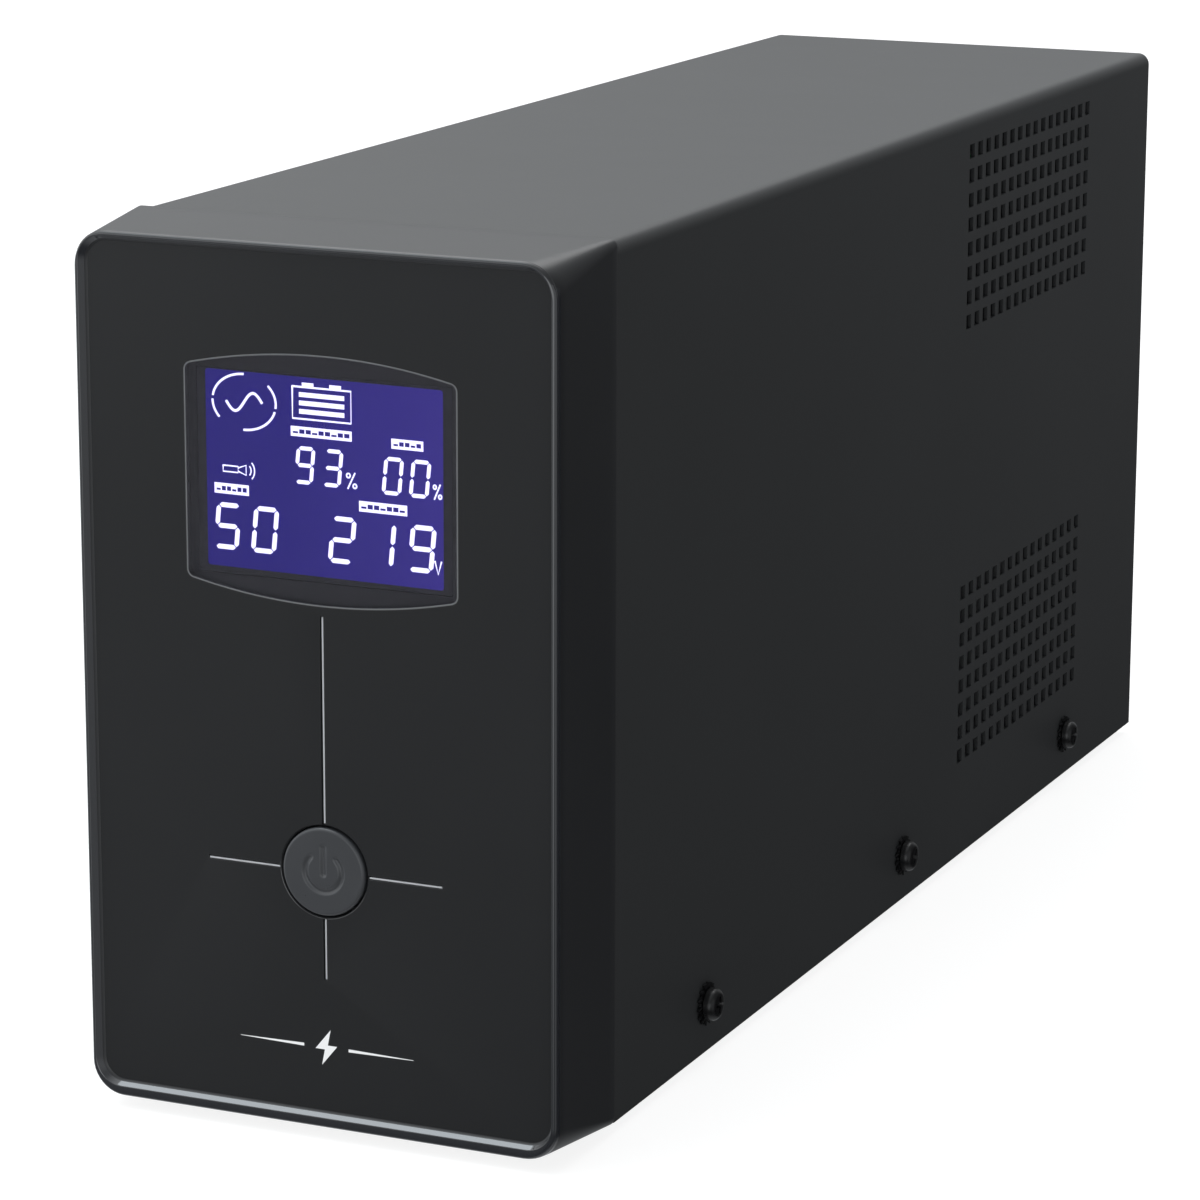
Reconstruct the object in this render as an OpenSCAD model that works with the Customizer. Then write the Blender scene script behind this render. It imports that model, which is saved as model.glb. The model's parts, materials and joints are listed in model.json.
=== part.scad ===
// Uninterruptible power supply in a narrow tower case: a steel base pan and
// cover, a plastic front with a display and one power button, and a rear
// panel with two outlets, a mains inlet, a breaker and data ports.
// +Z is up, the front faces -Y, and the origin is on the floor under the
// middle of the case. All sizes are in millimetres. Inside each module, y is
// counted from the plane of the front rim and z from the floor.

/* [Case] */
// Width over the front bezel, the widest moulding of the case
body_w = 95.9; // [94:0.1:110]
// Height of the case above its feet
body_h = 162.8; // [160:0.1:180]
// Depth from the front rim to the end of the steel cover
body_d = 335; // [328:1:360]
// How far the case stands above the floor on its feet
foot_h = 1.8; // [1.5:0.1:5]
// How far the bezel stands proud of the steel case all round
bezel_proud = 0.4; // [0.3:0.1:1]
// Thickness of the steel cover
cover_t = 0.8; // [0.6:0.1:1]
// Outer bend radius of the cover's top edges
bend_r = 2.6; // [2:0.1:5]
// Thickness of the base pan
pan_t = 1; // [0.8:0.1:1.2]
// Height of the base pan's side flanges
pan_flange_h = 18; // [16:1:22]

/* [Front] */
// Depth of the bezel's visible side
bezel_d = 24.4; // [23:0.1:30]
// Corner radius of the bezel at its front edge
front_corner_r = 6.4; // [5:0.1:8]
// Corner radius of the bezel where it meets the cover
rear_corner_r = 1.5; // [1:0.1:3]
// Width of the bevel round the inside of the front rim
rim_bevel_w = 1.2; // [0.8:0.1:1.8]
// How far the glossy panel lies behind the rim
panel_recess = 1.1; // [0.8:0.1:1.6]
// Width of the display window
window_w = 53.8; // [52:0.2:56]
// Height of the display window at its middle
window_h = 45.2; // [43:0.2:50]
// How much lower the window is at its sides than at its middle, at each end
window_arch = 3.2; // [2:0.1:5]
// Height of the display's middle above the floor
display_z = 121.8; // [118:0.1:123]
// Diameter of the power button
button_d = 16.4; // [15:0.1:18]
// Height of the power button's middle above the floor
button_z = 50.6; // [46:0.1:55]
// How far the display and the button stand to the right of the middle
front_shift = 1.2; // [0:0.1:2]
// Travel of the power button
button_travel = 1.2; // [0.5:0.1:1.2]

/* [Vents and screws] */
// Spacing of the vent holes along the case and up the case
vent_pitch = 5.2; // [4.5:0.1:5.5]
// Side of one square vent hole
vent_hole = 3; // [2:0.1:3.6]
// Columns of holes in one vent field
vent_columns = 16; // [4:1:16]
// Rows of holes in one vent field
vent_rows = 8; // [3:1:8]
// Middle of the vent fields, counted from the front
vent_y = 250; // [244:0.5:255]
// Middle of the lower vent field above the floor
vent_low_z = 43; // [42:0.5:50]
// Middle of the upper vent field above the floor
vent_high_z = 138.5; // [130:0.5:140]
// First side screw, counted from the front
side_screw_y = 67.7; // [60:0.1:75]
// Distance between side screws
side_screw_pitch = 107.7; // [100:0.1:108]
// Height of the side screws above the floor
side_screw_z = 12; // [10:0.1:13]

/* [Rear] */
// Height of the upper outlet's middle
socket_high_z = 110; // [109:0.5:112]
// Height of the lower outlet's middle
socket_low_z = 62; // [61:0.5:63]
// Height of the mains inlet's middle
inlet_z = 24; // [22:0.5:25]
// Height of the row of ports and the breaker
port_z = 148; // [146:0.5:149]
// How far the breaker's button comes out when it trips
breaker_travel = 4; // [2:0.5:5]

/* [Hidden] */
$fn = 48;

// The steel case, inside the bezel's outline
case_w = body_w - 2 * bezel_proud;
case_h = body_h - 2 * bezel_proud;
case_z = foot_h + bezel_proud;
case_top = case_z + case_h;
mid_z = foot_h + body_h / 2;
floor_z = case_z + pan_t;
cover_y = bezel_d + 0.3;
cover_gap = 0.1;
pan_half = case_w / 2 - cover_t - cover_gap;

// The front: rim, glossy panel and the web behind it
front_inset = 1;
edge_round = 0.3;
rim_side = rim_bevel_w + 0.4;
rim_bottom = rim_bevel_w + 1.3;
panel_w = body_w - 2 * (front_inset + rim_side);
panel_z0 = foot_h + front_inset + rim_bottom;
panel_h = body_h - 2 * front_inset - rim_bottom - rim_side;
panel_mid = panel_z0 + panel_h / 2;
panel_r = 4.2;
panel_t = 2;
sliver = 0.02;
web_y = panel_recess + panel_t;
web_t = 2;
bezel_wall = 2.2;
bezel_inner_r = 4.5;
fit_gap = 0.05;
hole_gap = 0.1;
overlap = 0.5;
button_r = button_d / 2;
button_gap = 0.3;
button_hole_r = button_r + button_gap;
button_proud = 0.5;
groove_w = 0.7;
groove_d = 0.4;
groove_reach = 23.5;
groove_down = 20.4;
groove_start = button_hole_r + 0.3;
groove_top_gap = 1.7;

// The display and its board, behind the web
web_back = web_y + web_t;
lcd_w = 50;
lcd_h = 37;
lcd_t = 2.8;
lcd_y = web_y + hole_gap;
lcd_frame_y = web_back + hole_gap;
lcd_frame_wall = 1.4;
backlight_t = 3.6;
board_t = 1.6;
display_board_y = 14;
display_board_w = 60;
display_board_z0 = 36;
display_board_h = 112;
display_board_back = display_board_y + board_t;
display_post_x = 26.5;
display_post_z = [41, 91, display_z + lcd_h / 2 + 4.4];
display_post_r = 2.6;
display_bore_r = 1.1;
display_bore_depth = 7;
board_hole_r = 1.6;

// The button's collar, the switch's plunger and the well it moves in
collar_y = web_back + hole_gap;
collar_t = 1;
plunger_y = collar_y + collar_t + 0.7;
plunger_w = 3;
plunger_len = 3;
well_slack = 1.2;

// The front bulkhead and the posts it holds
bulkhead_y = 40;
post_x = 37;
post_z = [22, 148];
post_r = 3.5;
post_bore_r = 1.25;
post_bore_depth = 14;
bulkhead_t = 1;
flange_reach = 9;

// The rear panel and what it carries
panel_rear_t = 1.2;
rear_flange_t = 1;
rear_flange_reach = 12;
rear_y = body_d - 1;
rear_in_y = rear_y - panel_rear_t;
flange_t = 2;
socket_r = 19.5;
socket_depth = 17.5;
socket_body_r = 21.5;
socket_flange = 46;
pin_spacing = 19;
pin_bore_r = 3;
pin_bore_depth = 9;
breaker_x = 30;
breaker_button_r = 3.2;
breaker_neck_r = 5.5;
breaker_hole_r = 5.6;
breaker_out = 6;
inlet_body = [27, 19.8];
inlet_screw_x = 20;
usb_x = -31;
usb_shell = [12, 10.8];
jack_x = [-12, 4];
jack_mid_x = (jack_x[0] + jack_x[1]) / 2;
jack_body = [32, 13.6];
port_low_z = port_z - 6.6;
port_gap = 0.2;
port_out = 0.6;
earth_x = 37;

// Overall depth, with the breaker's button as the rearmost point
overall_d = rear_y + breaker_out;
front_y = -overall_d / 2;

// Battery, 12 V and 7 Ah, in its standard size
battery_w = 65;
battery_l = 151;
battery_case_h = 86;
battery_lid_h = 8;
battery_y = 46;
pad_t = 1.5;
battery_z = floor_z + pad_t;
battery_top = battery_z + battery_case_h + battery_lid_h;
terminal = [0.8, 6.3, 6];
terminal_x = 20;
terminal_y = battery_y + battery_l - 8;

// Steel bridge over the battery, which carries the main board
bridge_t = 1.2;
bridge_y = [58, 186];
bridge_half = 37.2;
bridge_top = 109.2;
bridge_foot = 44;
standoff_h = 8;
main_z = bridge_top + standoff_h;
main_top = main_z + board_t;
main_w = 76;
main_y = [52, 193];
standoff_x = 32;
standoff_y = [64, 180];
standoff_bore_r = 1.25;

// Plugs of the flat cable
display_plug = [16, 3, 7];
display_plug_z = 101;
ribbon_plug_h = 2.2;

// Transformer with EI laminations
core_w = 76.2;
core_h = 63.5;
core_t = 40;
core_y = 225;
leg_w = 25.4;
window_gap_w = 12.7;
window_gap_h = 38.1;
strap_t = 1.2;
strap_foot = 44;

// Machine screws
screw_r = 1.45;
screw_hole_r = 1.5;
cover_hole_r = 1.8;
head_r = 2.7;
head_h = 1.8;
side_head = [3.2, 2.3];
washer_r = 4.2;
washer_t = 0.8;

// Rubber feet
foot_r = 6;
foot_x = 34;
foot_y = [47, 306];

module from_front() { translate([0, front_y, 0]) children(); }
module from_display() { translate([front_shift, front_y, 0]) children(); }

// An outline in x and z, given depth along y from y0
module along_y(y0, depth) {
    translate([0, y0 + depth, 0]) rotate([90, 0, 0]) linear_extrude(depth) children();
}

// A box given by its corner and its size
module block(corner, size) { translate(corner) cube(size); }

// A box centred on x = xc, from z0 up and from y0 back
module centred_block(xc, y0, z0, size) { translate([xc - size[0] / 2, y0, z0]) cube(size); }

module rounded_rect(w, h, r) {
    square([w - 2 * r, h], center = true);
    square([w, h - 2 * r], center = true);
    for (sx = [-1, 1], sy = [-1, 1])
        translate([sx * (w / 2 - r), sy * (h / 2 - r)]) circle(r);
}

// A square-footed outline with two round top corners, standing on y = 0
module arch(w, h, r) {
    translate([-w / 2, 0]) square([w, h - r]);
    translate([r - w / 2, 0]) square([w - 2 * r, h]);
    for (s = [-1, 1]) translate([s * (w / 2 - r), h - r]) circle(r);
}

// A rod along +Y or +Z or +X, from its start
module rod_y(at, r, len) { translate(at) rotate([-90, 0, 0]) cylinder(r = r, h = len); }
module rod_z(at, r, len) { translate(at) cylinder(r = r, h = len); }
module rod_x(at, r, len) { translate(at) rotate([0, 90, 0]) cylinder(r = r, h = len); }

// A pan-head screw with a cross recess. Its head stands on z = 0 and its
// shank points down.
module screw(r, len, hr, hh) {
    slot_w = hr * 0.24;
    slot_l = hr * 1.15;
    slot_d = hh * 0.55;
    difference() {
        union() {
            cylinder(r = hr, h = hh * 0.55);
            translate([0, 0, hh * 0.55]) cylinder(r1 = hr, r2 = hr * 0.7, h = hh * 0.45);
            translate([0, 0, -len]) cylinder(r = r, h = len);
        }
        for (size = [[slot_l, slot_w], [slot_w, slot_l]])
            translate([-size[0] / 2, -size[1] / 2, hh - slot_d]) cube([size[0], size[1], slot_d + 1]);
    }
}

// The same screw with its head on the plane y = 0: facing back, or forward
module screw_back(at, r, len, hr, hh) { translate(at) rotate([-90, 0, 0]) screw(r, len, hr, hh); }

// The window's outline: straight sides between two wide arcs
module window_outline(grow) {
    half_w = window_w / 2;
    arc_r = (half_w * half_w + window_arch * window_arch) / (2 * window_arch);
    intersection() {
        square([window_w + 2 * grow, window_h + 2 * grow], center = true);
        translate([0, window_h / 2 - arc_r]) circle(arc_r + grow, $fn = 200);
        translate([0, arc_r - window_h / 2]) circle(arc_r + grow, $fn = 200);
    }
}

// One outline of the bezel at depth y, inset from its widest outline
module bezel_slice(y, inset, r) {
    along_y(y, sliver) translate([0, mid_z])
        rounded_rect(body_w - 2 * inset, body_h - 2 * inset, r, $fn = 32);
}

module bezel_shape() {
    hull() {
        bezel_slice(0, front_inset + edge_round, front_corner_r - edge_round);
        bezel_slice(edge_round, front_inset, front_corner_r);
        bezel_slice(bezel_d - sliver, 0, rear_corner_r);
    }
}

// The panel's outline, grown on all sides
module panel_outline(grow, r) {
    translate([0, panel_mid]) rounded_rect(panel_w + 2 * grow, panel_h + 2 * grow, r, $fn = 32);
}

// The pocket for the panel, opened by the rim's bevel
module rim_pocket() {
    hull() {
        along_y(-sliver, sliver) panel_outline(rim_bevel_w, panel_r + rim_bevel_w);
        along_y(panel_recess, sliver) panel_outline(0, panel_r);
    }
    along_y(panel_recess, panel_t) panel_outline(fit_gap, panel_r);
}

// Tongue that reaches inside the cover
module cover_tongue() {
    low = case_z + pan_flange_h + 4;
    gap = 0.3;
    w = case_w - 2 * (cover_t + gap);
    h = case_top - cover_t - gap - low;
    wall = 1.5;
    outer_r = 2.3;
    inner_r = 1;
    root = 3;
    reach = 8;
    along_y(bezel_d - root, root + reach) translate([0, low]) difference() {
        arch(w, h, outer_r);
        translate([0, -1]) arch(w - 2 * wall, h + 1 - wall, inner_r);
    }
}

// Rods in x and z on both sides of the middle, from the web back to a depth
module web_posts(x, places, r, end_y) {
    for (sx = [-1, 1], z = places) rod_y([sx * x, web_back - overlap, z], r, end_y - web_back + overlap);
}

// The bores for screws in the ends of those rods
module post_bores(x, places, r, end_y, depth) {
    for (sx = [-1, 1], z = places) rod_y([sx * x, end_y - depth, z], r, depth + 1);
}

module front_bezel() {
    sleeve_r = [button_r + 2.6, button_r + 4.4];
    sleeve_len = 3.6;
    color("#26282b") from_front() difference() {
        union() {
            difference() {
                bezel_shape();
                rim_pocket();
                along_y(web_back, bezel_d) translate([0, mid_z])
                    rounded_rect(body_w - 2 * bezel_wall, body_h - 2 * bezel_wall, bezel_inner_r);
            }
            cover_tongue();
            web_posts(post_x, post_z, post_r, bulkhead_y);
            web_posts(display_post_x, display_post_z, display_post_r, display_board_y);
            // Sleeve that guides the button
            along_y(web_back - overlap, overlap + sleeve_len) translate([front_shift, button_z])
                difference() {
                    circle(sleeve_r[1]);
                    circle(sleeve_r[0]);
                }
        }
        translate([front_shift, 0, 0]) {
            centred_block(0, web_y - 1, display_z - lcd_h / 2 - hole_gap,
                [lcd_w + 2 * hole_gap, web_t + 2, lcd_h + 2 * hole_gap]);
            rod_y([0, web_y - 1, button_z], button_hole_r, web_t + 2);
        }
        post_bores(post_x, post_z, post_bore_r, bulkhead_y, post_bore_depth);
        post_bores(display_post_x, display_post_z, display_bore_r, display_board_y, display_bore_depth);
    }
}

// Grooves on the panel's face from one distance from the button's middle to
// another: a level one and an upright one
module groove_level(x0, x1) {
    block([x0, panel_recess - 1, button_z - groove_w / 2], [x1 - x0, 1 + groove_d, groove_w]);
}

module groove_upright(z0, z1) {
    block([-groove_w / 2, panel_recess - 1, button_z + z0], [groove_w, 1 + groove_d, z1 - z0]);
}

module front_panel() {
    window_low = display_z - window_h / 2;
    color("#2c2e31") from_front() difference() {
        along_y(panel_recess, panel_t) difference() {
            panel_outline(0, panel_r);
            translate([front_shift, display_z]) window_outline(fit_gap);
            translate([front_shift, button_z]) circle(button_hole_r);
        }
        translate([front_shift, 0, 0]) {
            groove_upright(groove_start, window_low - groove_top_gap - button_z);
            groove_upright(-groove_down, -groove_start);
            groove_level(groove_start, groove_reach);
            groove_level(-groove_reach, -groove_start);
        }
    }
}

module display_window() {
    color("#1b1c20", 0.6) from_display()
        along_y(panel_recess, panel_t) translate([0, display_z]) window_outline(-fit_gap);
}

module power_button() {
    face_y = panel_recess - button_proud;
    chamfer = 0.5;
    stem_r = 2;
    collar_r = button_r + 1.7;
    collar_h = collar_y - face_y;
    stem_h = plunger_y - face_y;
    color("#3c3f45") from_display() translate([0, face_y, button_z]) rotate([-90, 0, 0])
        rotate_extrude() polygon([
            [0, 0], [button_r - chamfer, 0], [button_r, chamfer], [button_r, collar_h],
            [collar_r, collar_h], [collar_r, collar_h + collar_t],
            [stem_r, collar_h + collar_t], [stem_r, stem_h], [0, stem_h]]);
}

module lcd_glass() {
    color("#3b2f96") from_display()
        centred_block(0, lcd_y, display_z - lcd_h / 2, [lcd_w, lcd_t, lcd_h]);
}

module lcd_backlight() {
    color("#dfe6ff") from_display()
        centred_block(0, lcd_y + lcd_t + hole_gap, display_z - lcd_h / 2, [lcd_w, backlight_t, lcd_h]);
}

module lcd_frame() {
    color("#e8e8e4") from_display() along_y(lcd_frame_y, display_board_y - lcd_frame_y)
        translate([0, display_z]) difference() {
            square([lcd_w + 2 * lcd_frame_wall, lcd_h + 2 * lcd_frame_wall], center = true);
            square([lcd_w + 2 * hole_gap, lcd_h + 2 * hole_gap], center = true);
        }
}

module display_board() {
    color("#1f6b3a") from_front() along_y(display_board_y, board_t) difference() {
        translate([-display_board_w / 2, display_board_z0]) square([display_board_w, display_board_h]);
        for (sx = [-1, 1], z = display_post_z) translate([sx * display_post_x, z]) circle(board_hole_r);
    }
}

// Switch body on the display board, with a well that its plunger moves in
module button_switch() {
    body_y = 8.6;
    switch_w = 8;
    well_w = plunger_w + 0.4;
    well_y = plunger_y + 1;
    well_end = plunger_y + plunger_len + button_travel + well_slack;
    color("#2a2a2c") from_display() difference() {
        centred_block(0, body_y, button_z - switch_w / 2, [switch_w, display_board_y - body_y, switch_w]);
        centred_block(0, well_y, button_z - well_w / 2, [well_w, well_end - well_y, well_w]);
    }
}

module switch_plunger() {
    color("#d8d8d8") from_display()
        centred_block(0, plunger_y, button_z - plunger_w / 2, [plunger_w, plunger_len, plunger_w]);
}

module buzzer() {
    at = [-15, display_board_back, 76];
    r = 6;
    h = 8.5;
    sound_hole_r = 1;
    color("#141416") from_front() difference() {
        rod_y(at, r, h);
        rod_y(at + [0, h - 2, 0], sound_hole_r, 4);
    }
}

// Flat cable from the display board, through the bulkhead, to the main board
module ribbon_cable() {
    w = 12;
    t = 0.8;
    start_y = display_board_back + display_plug[1];
    turn_y = start_y + 3 - t;
    low_z = display_plug_z + display_plug[2] / 2 - t / 2;
    run_z = main_top + 4;
    end_y = main_y[0] + 5;
    color("#b9bcc2") from_front() {
        centred_block(0, start_y, low_z, [w, 3, t]);
        centred_block(0, turn_y, low_z, [w, t, run_z - low_z]);
        centred_block(0, turn_y, run_z - t, [w, end_y - turn_y, t]);
        centred_block(0, end_y - t, main_top + ribbon_plug_h, [w, t, run_z - main_top - ribbon_plug_h]);
    }
}

// All vent holes of one field, cut through both sides of the cover
module vent_field(mid) {
    start_y = vent_y - (vent_columns - 1) / 2 * vent_pitch - vent_hole / 2;
    start_z = mid - (vent_rows - 1) / 2 * vent_pitch - vent_hole / 2;
    for (column = [0 : vent_columns - 1], row = [0 : vent_rows - 1])
        block([-body_w / 2 - 1, start_y + column * vent_pitch, start_z + row * vent_pitch],
            [body_w + 2, vent_hole, vent_hole]);
}

module each_side_screw() {
    for (i = [0 : 2], s = [-1, 1])
        translate([s * case_w / 2, side_screw_y + i * side_screw_pitch, side_screw_z])
            rotate([0, s * 90, 0]) children();
}

module cover() {
    color("#36383a") from_front() difference() {
        along_y(cover_y, body_d - cover_y) translate([0, case_z]) difference() {
            arch(case_w, case_h, bend_r);
            translate([0, -1]) arch(case_w - 2 * cover_t, case_h - cover_t + 1, bend_r - cover_t);
        }
        vent_field(vent_low_z);
        vent_field(vent_high_z);
        each_side_screw() translate([0, 0, -3]) cylinder(r = cover_hole_r, h = 6);
    }
}

// Places of the screws through the floor of the case: x, y
bulkhead_screw_at = [[-30, bulkhead_y - 4.5], [30, bulkhead_y - 4.5]];
rear_screw_at = [[-30, rear_in_y - 7], [30, rear_in_y - 7]];
bridge_screw_at = [for (s = [-1, 1], y = [75, 170]) [s * 40.6, y]];
transformer_screw_at = [for (s = [-1, 1], y = [core_y + 6, core_y + core_t - 6]) [s * 42.1, y]];
floor_screw_at = concat(bulkhead_screw_at, rear_screw_at, bridge_screw_at, transformer_screw_at);

module base_pan() {
    end_y = rear_in_y - 0.1;
    color("#4a4c4f") from_front() difference() {
        along_y(cover_y, end_y - cover_y) translate([0, case_z]) difference() {
            translate([0, pan_flange_h]) mirror([0, 1]) arch(2 * pan_half, pan_flange_h, 1.6);
            translate([0, pan_flange_h + 1]) mirror([0, 1])
                arch(2 * (pan_half - pan_t), pan_flange_h + 1 - pan_t, 0.6);
        }
        each_side_screw() translate([0, 0, -5]) cylinder(r = screw_hole_r, h = 6);
        for (at = floor_screw_at) rod_z([at[0], at[1], case_z - 1], screw_hole_r, pan_t + 2);
    }
}

module front_bulkhead() {
    half = pan_half - pan_t - 0.7;
    cable_window = [[-16, 96], [32, 36]];
    buzzer_window = [[-24, 34], [48, 44]];
    color("#8c8f92") from_front() difference() {
        union() {
            along_y(bulkhead_y, bulkhead_t) translate([-half, floor_z])
                square([2 * half, case_top - 3 - floor_z]);
            block([-half, bulkhead_y - flange_reach, floor_z],
                [2 * half, flange_reach + bulkhead_t, bulkhead_t]);
        }
        for (hole = [cable_window, buzzer_window])
            along_y(bulkhead_y - 1, 3) translate(hole[0]) square(hole[1]);
        for (sx = [-1, 1], z = post_z) rod_y([sx * post_x, bulkhead_y - 1, z], screw_hole_r, 3);
        for (at = bulkhead_screw_at) rod_z([at[0], at[1], floor_z - 1], screw_hole_r, 3);
    }
}

// Vent slots beside the outlets
module rear_slots() {
    slot_w = 13;
    slot_h = 2.6;
    slot_x = 34.5;
    low = 56;
    pitch = 6.5;
    for (sx = [-1, 1], i = [0 : 7]) translate([sx * slot_x, low + i * pitch]) {
        square([slot_w - slot_h, slot_h], center = true);
        for (e = [-1, 1]) translate([e * (slot_w - slot_h) / 2, 0]) circle(slot_h / 2);
    }
}

// The opening in the panel for a body of one size
module opening(size) {
    square([size[0] + 2 * port_gap, size[1] + 2 * port_gap], center = true);
}

module rear_panel() {
    half = case_w / 2 - cover_t - cover_gap;
    flange_half = 40;
    color("#303234") from_front() difference() {
        union() {
            along_y(rear_in_y, panel_rear_t) difference() {
                translate([0, case_z]) arch(2 * half, case_h - cover_t - 2 * cover_gap, bend_r - cover_t);
                for (z = [socket_low_z, socket_high_z]) translate([0, z]) circle(socket_body_r + hole_gap);
                translate([0, inlet_z]) opening(inlet_body);
                for (s = [-1, 1]) translate([s * inlet_screw_x, inlet_z]) circle(screw_hole_r);
                translate([breaker_x, port_z]) circle(breaker_hole_r);
                translate([usb_x, port_low_z + usb_shell[1] / 2]) opening(usb_shell);
                translate([jack_mid_x, port_low_z + jack_body[1] / 2]) opening(jack_body);
                translate([earth_x, inlet_z]) circle(2);
                rear_slots();
            }
            block([-flange_half, rear_in_y - rear_flange_reach, floor_z],
                [2 * flange_half, rear_flange_reach + panel_rear_t, rear_flange_t]);
        }
        for (at = rear_screw_at) rod_z([at[0], at[1], floor_z - 1], screw_hole_r, 3);
    }
}

module cover_screws() {
    color("#17181a") from_front() each_side_screw()
        translate([0, 0, washer_t]) screw(screw_r, 7.6, side_head[0], side_head[1]);
}

module cover_washers() {
    color("#202123") from_front() each_side_screw() difference() {
        cylinder(r = washer_r, h = washer_t);
        translate([0, 0, -1]) cylinder(r = screw_hole_r + hole_gap, h = washer_t + 2);
    }
}

module bezel_screws() {
    color("silver") from_front() for (sx = [-1, 1], z = post_z)
        screw_back([sx * post_x, bulkhead_y + bulkhead_t, z], 1.2, 10, head_r, head_h);
}

// Screws that point down through the floor of the case, heads on plane top_z
module floor_screws(places, top_z) {
    for (at = places) translate([at[0], at[1], top_z])
        screw(screw_r, top_z - case_z + 1, head_r, head_h);
}

module bulkhead_screws() {
    color("silver") from_front() floor_screws(bulkhead_screw_at, floor_z + bulkhead_t);
}
module rear_panel_screws() {
    color("silver") from_front() floor_screws(rear_screw_at, floor_z + rear_flange_t);
}
module bridge_screws() {
    color("silver") from_front() floor_screws(bridge_screw_at, floor_z + bridge_t);
}
module transformer_screws() {
    color("silver") from_front() floor_screws(transformer_screw_at, floor_z + strap_t);
}

module feet() {
    h = case_z;
    color("#1c1c1c") from_front() for (sx = [-1, 1], y = foot_y) translate([sx * foot_x, y, 0])
        rotate_extrude() polygon([[0, 0], [foot_r - 0.6, 0], [foot_r, 0.8], [foot_r, h], [0, h]]);
}

// A round earthed outlet for two pins 19 mm apart, in a square flange
module socket(z) {
    body_depth = 27;
    face_y = rear_y + flange_t;
    floor_y = face_y - socket_depth;
    key_x = 20;
    key = [2.4, socket_depth - 3, 5];
    difference() {
        union() {
            along_y(rear_y, flange_t) translate([0, z]) rounded_rect(socket_flange, socket_flange, 4);
            rod_y([0, rear_y - body_depth, z], socket_body_r, body_depth);
        }
        rod_y([0, floor_y, z], socket_r, socket_depth + 1);
        for (s = [-1, 1]) {
            rod_y([s * pin_spacing / 2, floor_y - pin_bore_depth, z], pin_bore_r, pin_bore_depth + 1);
            // Grooves for the plug's ribs at both sides of the recess
            centred_block(s * key_x, floor_y + 1, z - key[2] / 2, key);
        }
    }
}

module socket_upper() { color("#242527") from_front() socket(socket_high_z); }
module socket_lower() { color("#242527") from_front() socket(socket_low_z); }

// Split brass sleeves that take the plug's pins
module socket_contacts() {
    bottom_y = rear_y + flange_t - socket_depth - pin_bore_depth;
    wall = 0.5;
    outer_r = pin_bore_r - fit_gap;
    len = 8.2;
    color("#c9a24a") from_front() for (z = [socket_low_z, socket_high_z], s = [-1, 1]) difference() {
        rod_y([s * pin_spacing / 2, bottom_y + hole_gap, z], outer_r, len);
        rod_y([s * pin_spacing / 2, bottom_y + 1.5, z], outer_r - wall, len);
    }
}

// Sprung earth strips at the top and bottom of each recess
module earth_clips() {
    floor_y = rear_y + flange_t - socket_depth;
    low = socket_r - 3;
    w = 4;
    t = 0.8;
    color("#c8cacc") from_front() for (z = [socket_low_z, socket_high_z], s = [-1, 1])
        translate([0, 0, z]) mirror([0, 0, s < 0 ? 1 : 0]) {
            centred_block(0, floor_y, low, [w, 15, t]);
            centred_block(0, floor_y, low, [w, t, 2.4]);
        }
}

// Appliance inlet: three blades in a cavity whose two lower corners are cut
module mains_inlet() {
    cavity_w = 24.8;
    cavity_h = 16.6;
    cavity_depth = 16.5;
    cut = 4.2;
    body_depth = 24;
    face_y = rear_y + flange_t;
    color("#1d1e20") from_front() difference() {
        union() {
            along_y(rear_y, flange_t) translate([0, inlet_z]) {
                rounded_rect(32, 24, 2);
                difference() {
                    rounded_rect(50, 20, 8);
                    for (s = [-1, 1]) translate([s * inlet_screw_x, 0])
                        circle(screw_hole_r + port_gap);
                }
            }
            along_y(rear_y - body_depth, body_depth) translate([0, inlet_z])
                square(inlet_body, center = true);
        }
        along_y(face_y - cavity_depth, cavity_depth + 1) translate([0, inlet_z]) polygon([
            [-cavity_w / 2, cavity_h / 2], [cavity_w / 2, cavity_h / 2],
            [cavity_w / 2, cut - cavity_h / 2], [cavity_w / 2 - cut, -cavity_h / 2],
            [cut - cavity_w / 2, -cavity_h / 2], [-cavity_w / 2, cut - cavity_h / 2]]);
        inlet_blades(18);
    }
}

// Three flat blades of one length, which start behind the inlet's body
module inlet_blades(len) {
    blade = [2, 4];
    start_y = rear_y + flange_t - 32;
    for (at = [[-7, 0.9], [0, -3.2], [7, 0.9]])
        centred_block(at[0], start_y, inlet_z + at[1] - blade[1] / 2, [blade[0], len, blade[1]]);
}

module inlet_pins() { color("#c9c9c4") from_front() inlet_blades(30); }

module inlet_screws() {
    color("#9a9da0") from_front() for (s = [-1, 1])
        screw_back([s * inlet_screw_x, rear_y + flange_t, inlet_z], screw_r, 8, 2.8, 1.9);
}

module breaker_body() {
    body = [14, 24, 15];
    neck_out = 4;
    color("#1a1a1b") from_front() difference() {
        union() {
            centred_block(breaker_x, rear_in_y - body[1], port_z - body[2] / 2, body);
            rod_y([breaker_x, rear_in_y - 1, port_z], breaker_neck_r, 1 + panel_rear_t + neck_out);
        }
        rod_y([breaker_x, rear_in_y - 10, port_z], breaker_button_r + hole_gap, 20);
    }
}

module breaker_nut() {
    nut_r = 8;
    nut_t = 2.6;
    color("#222325") from_front() difference() {
        rod_y([breaker_x, rear_y, port_z], nut_r, nut_t, $fn = 6);
        rod_y([breaker_x, rear_y - 1, port_z], breaker_hole_r, nut_t + 2);
    }
}

module breaker_button() {
    r = breaker_button_r;
    held = 4;
    len = breaker_out + breaker_travel + held;
    chamfer = 0.6;
    color("#b3261e") from_front() translate([breaker_x, rear_y + breaker_out - len, port_z])
        rotate([-90, 0, 0]) rotate_extrude()
            polygon([[0, 0], [r, 0], [r, len - chamfer], [r - chamfer, len], [0, len]]);
}

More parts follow.
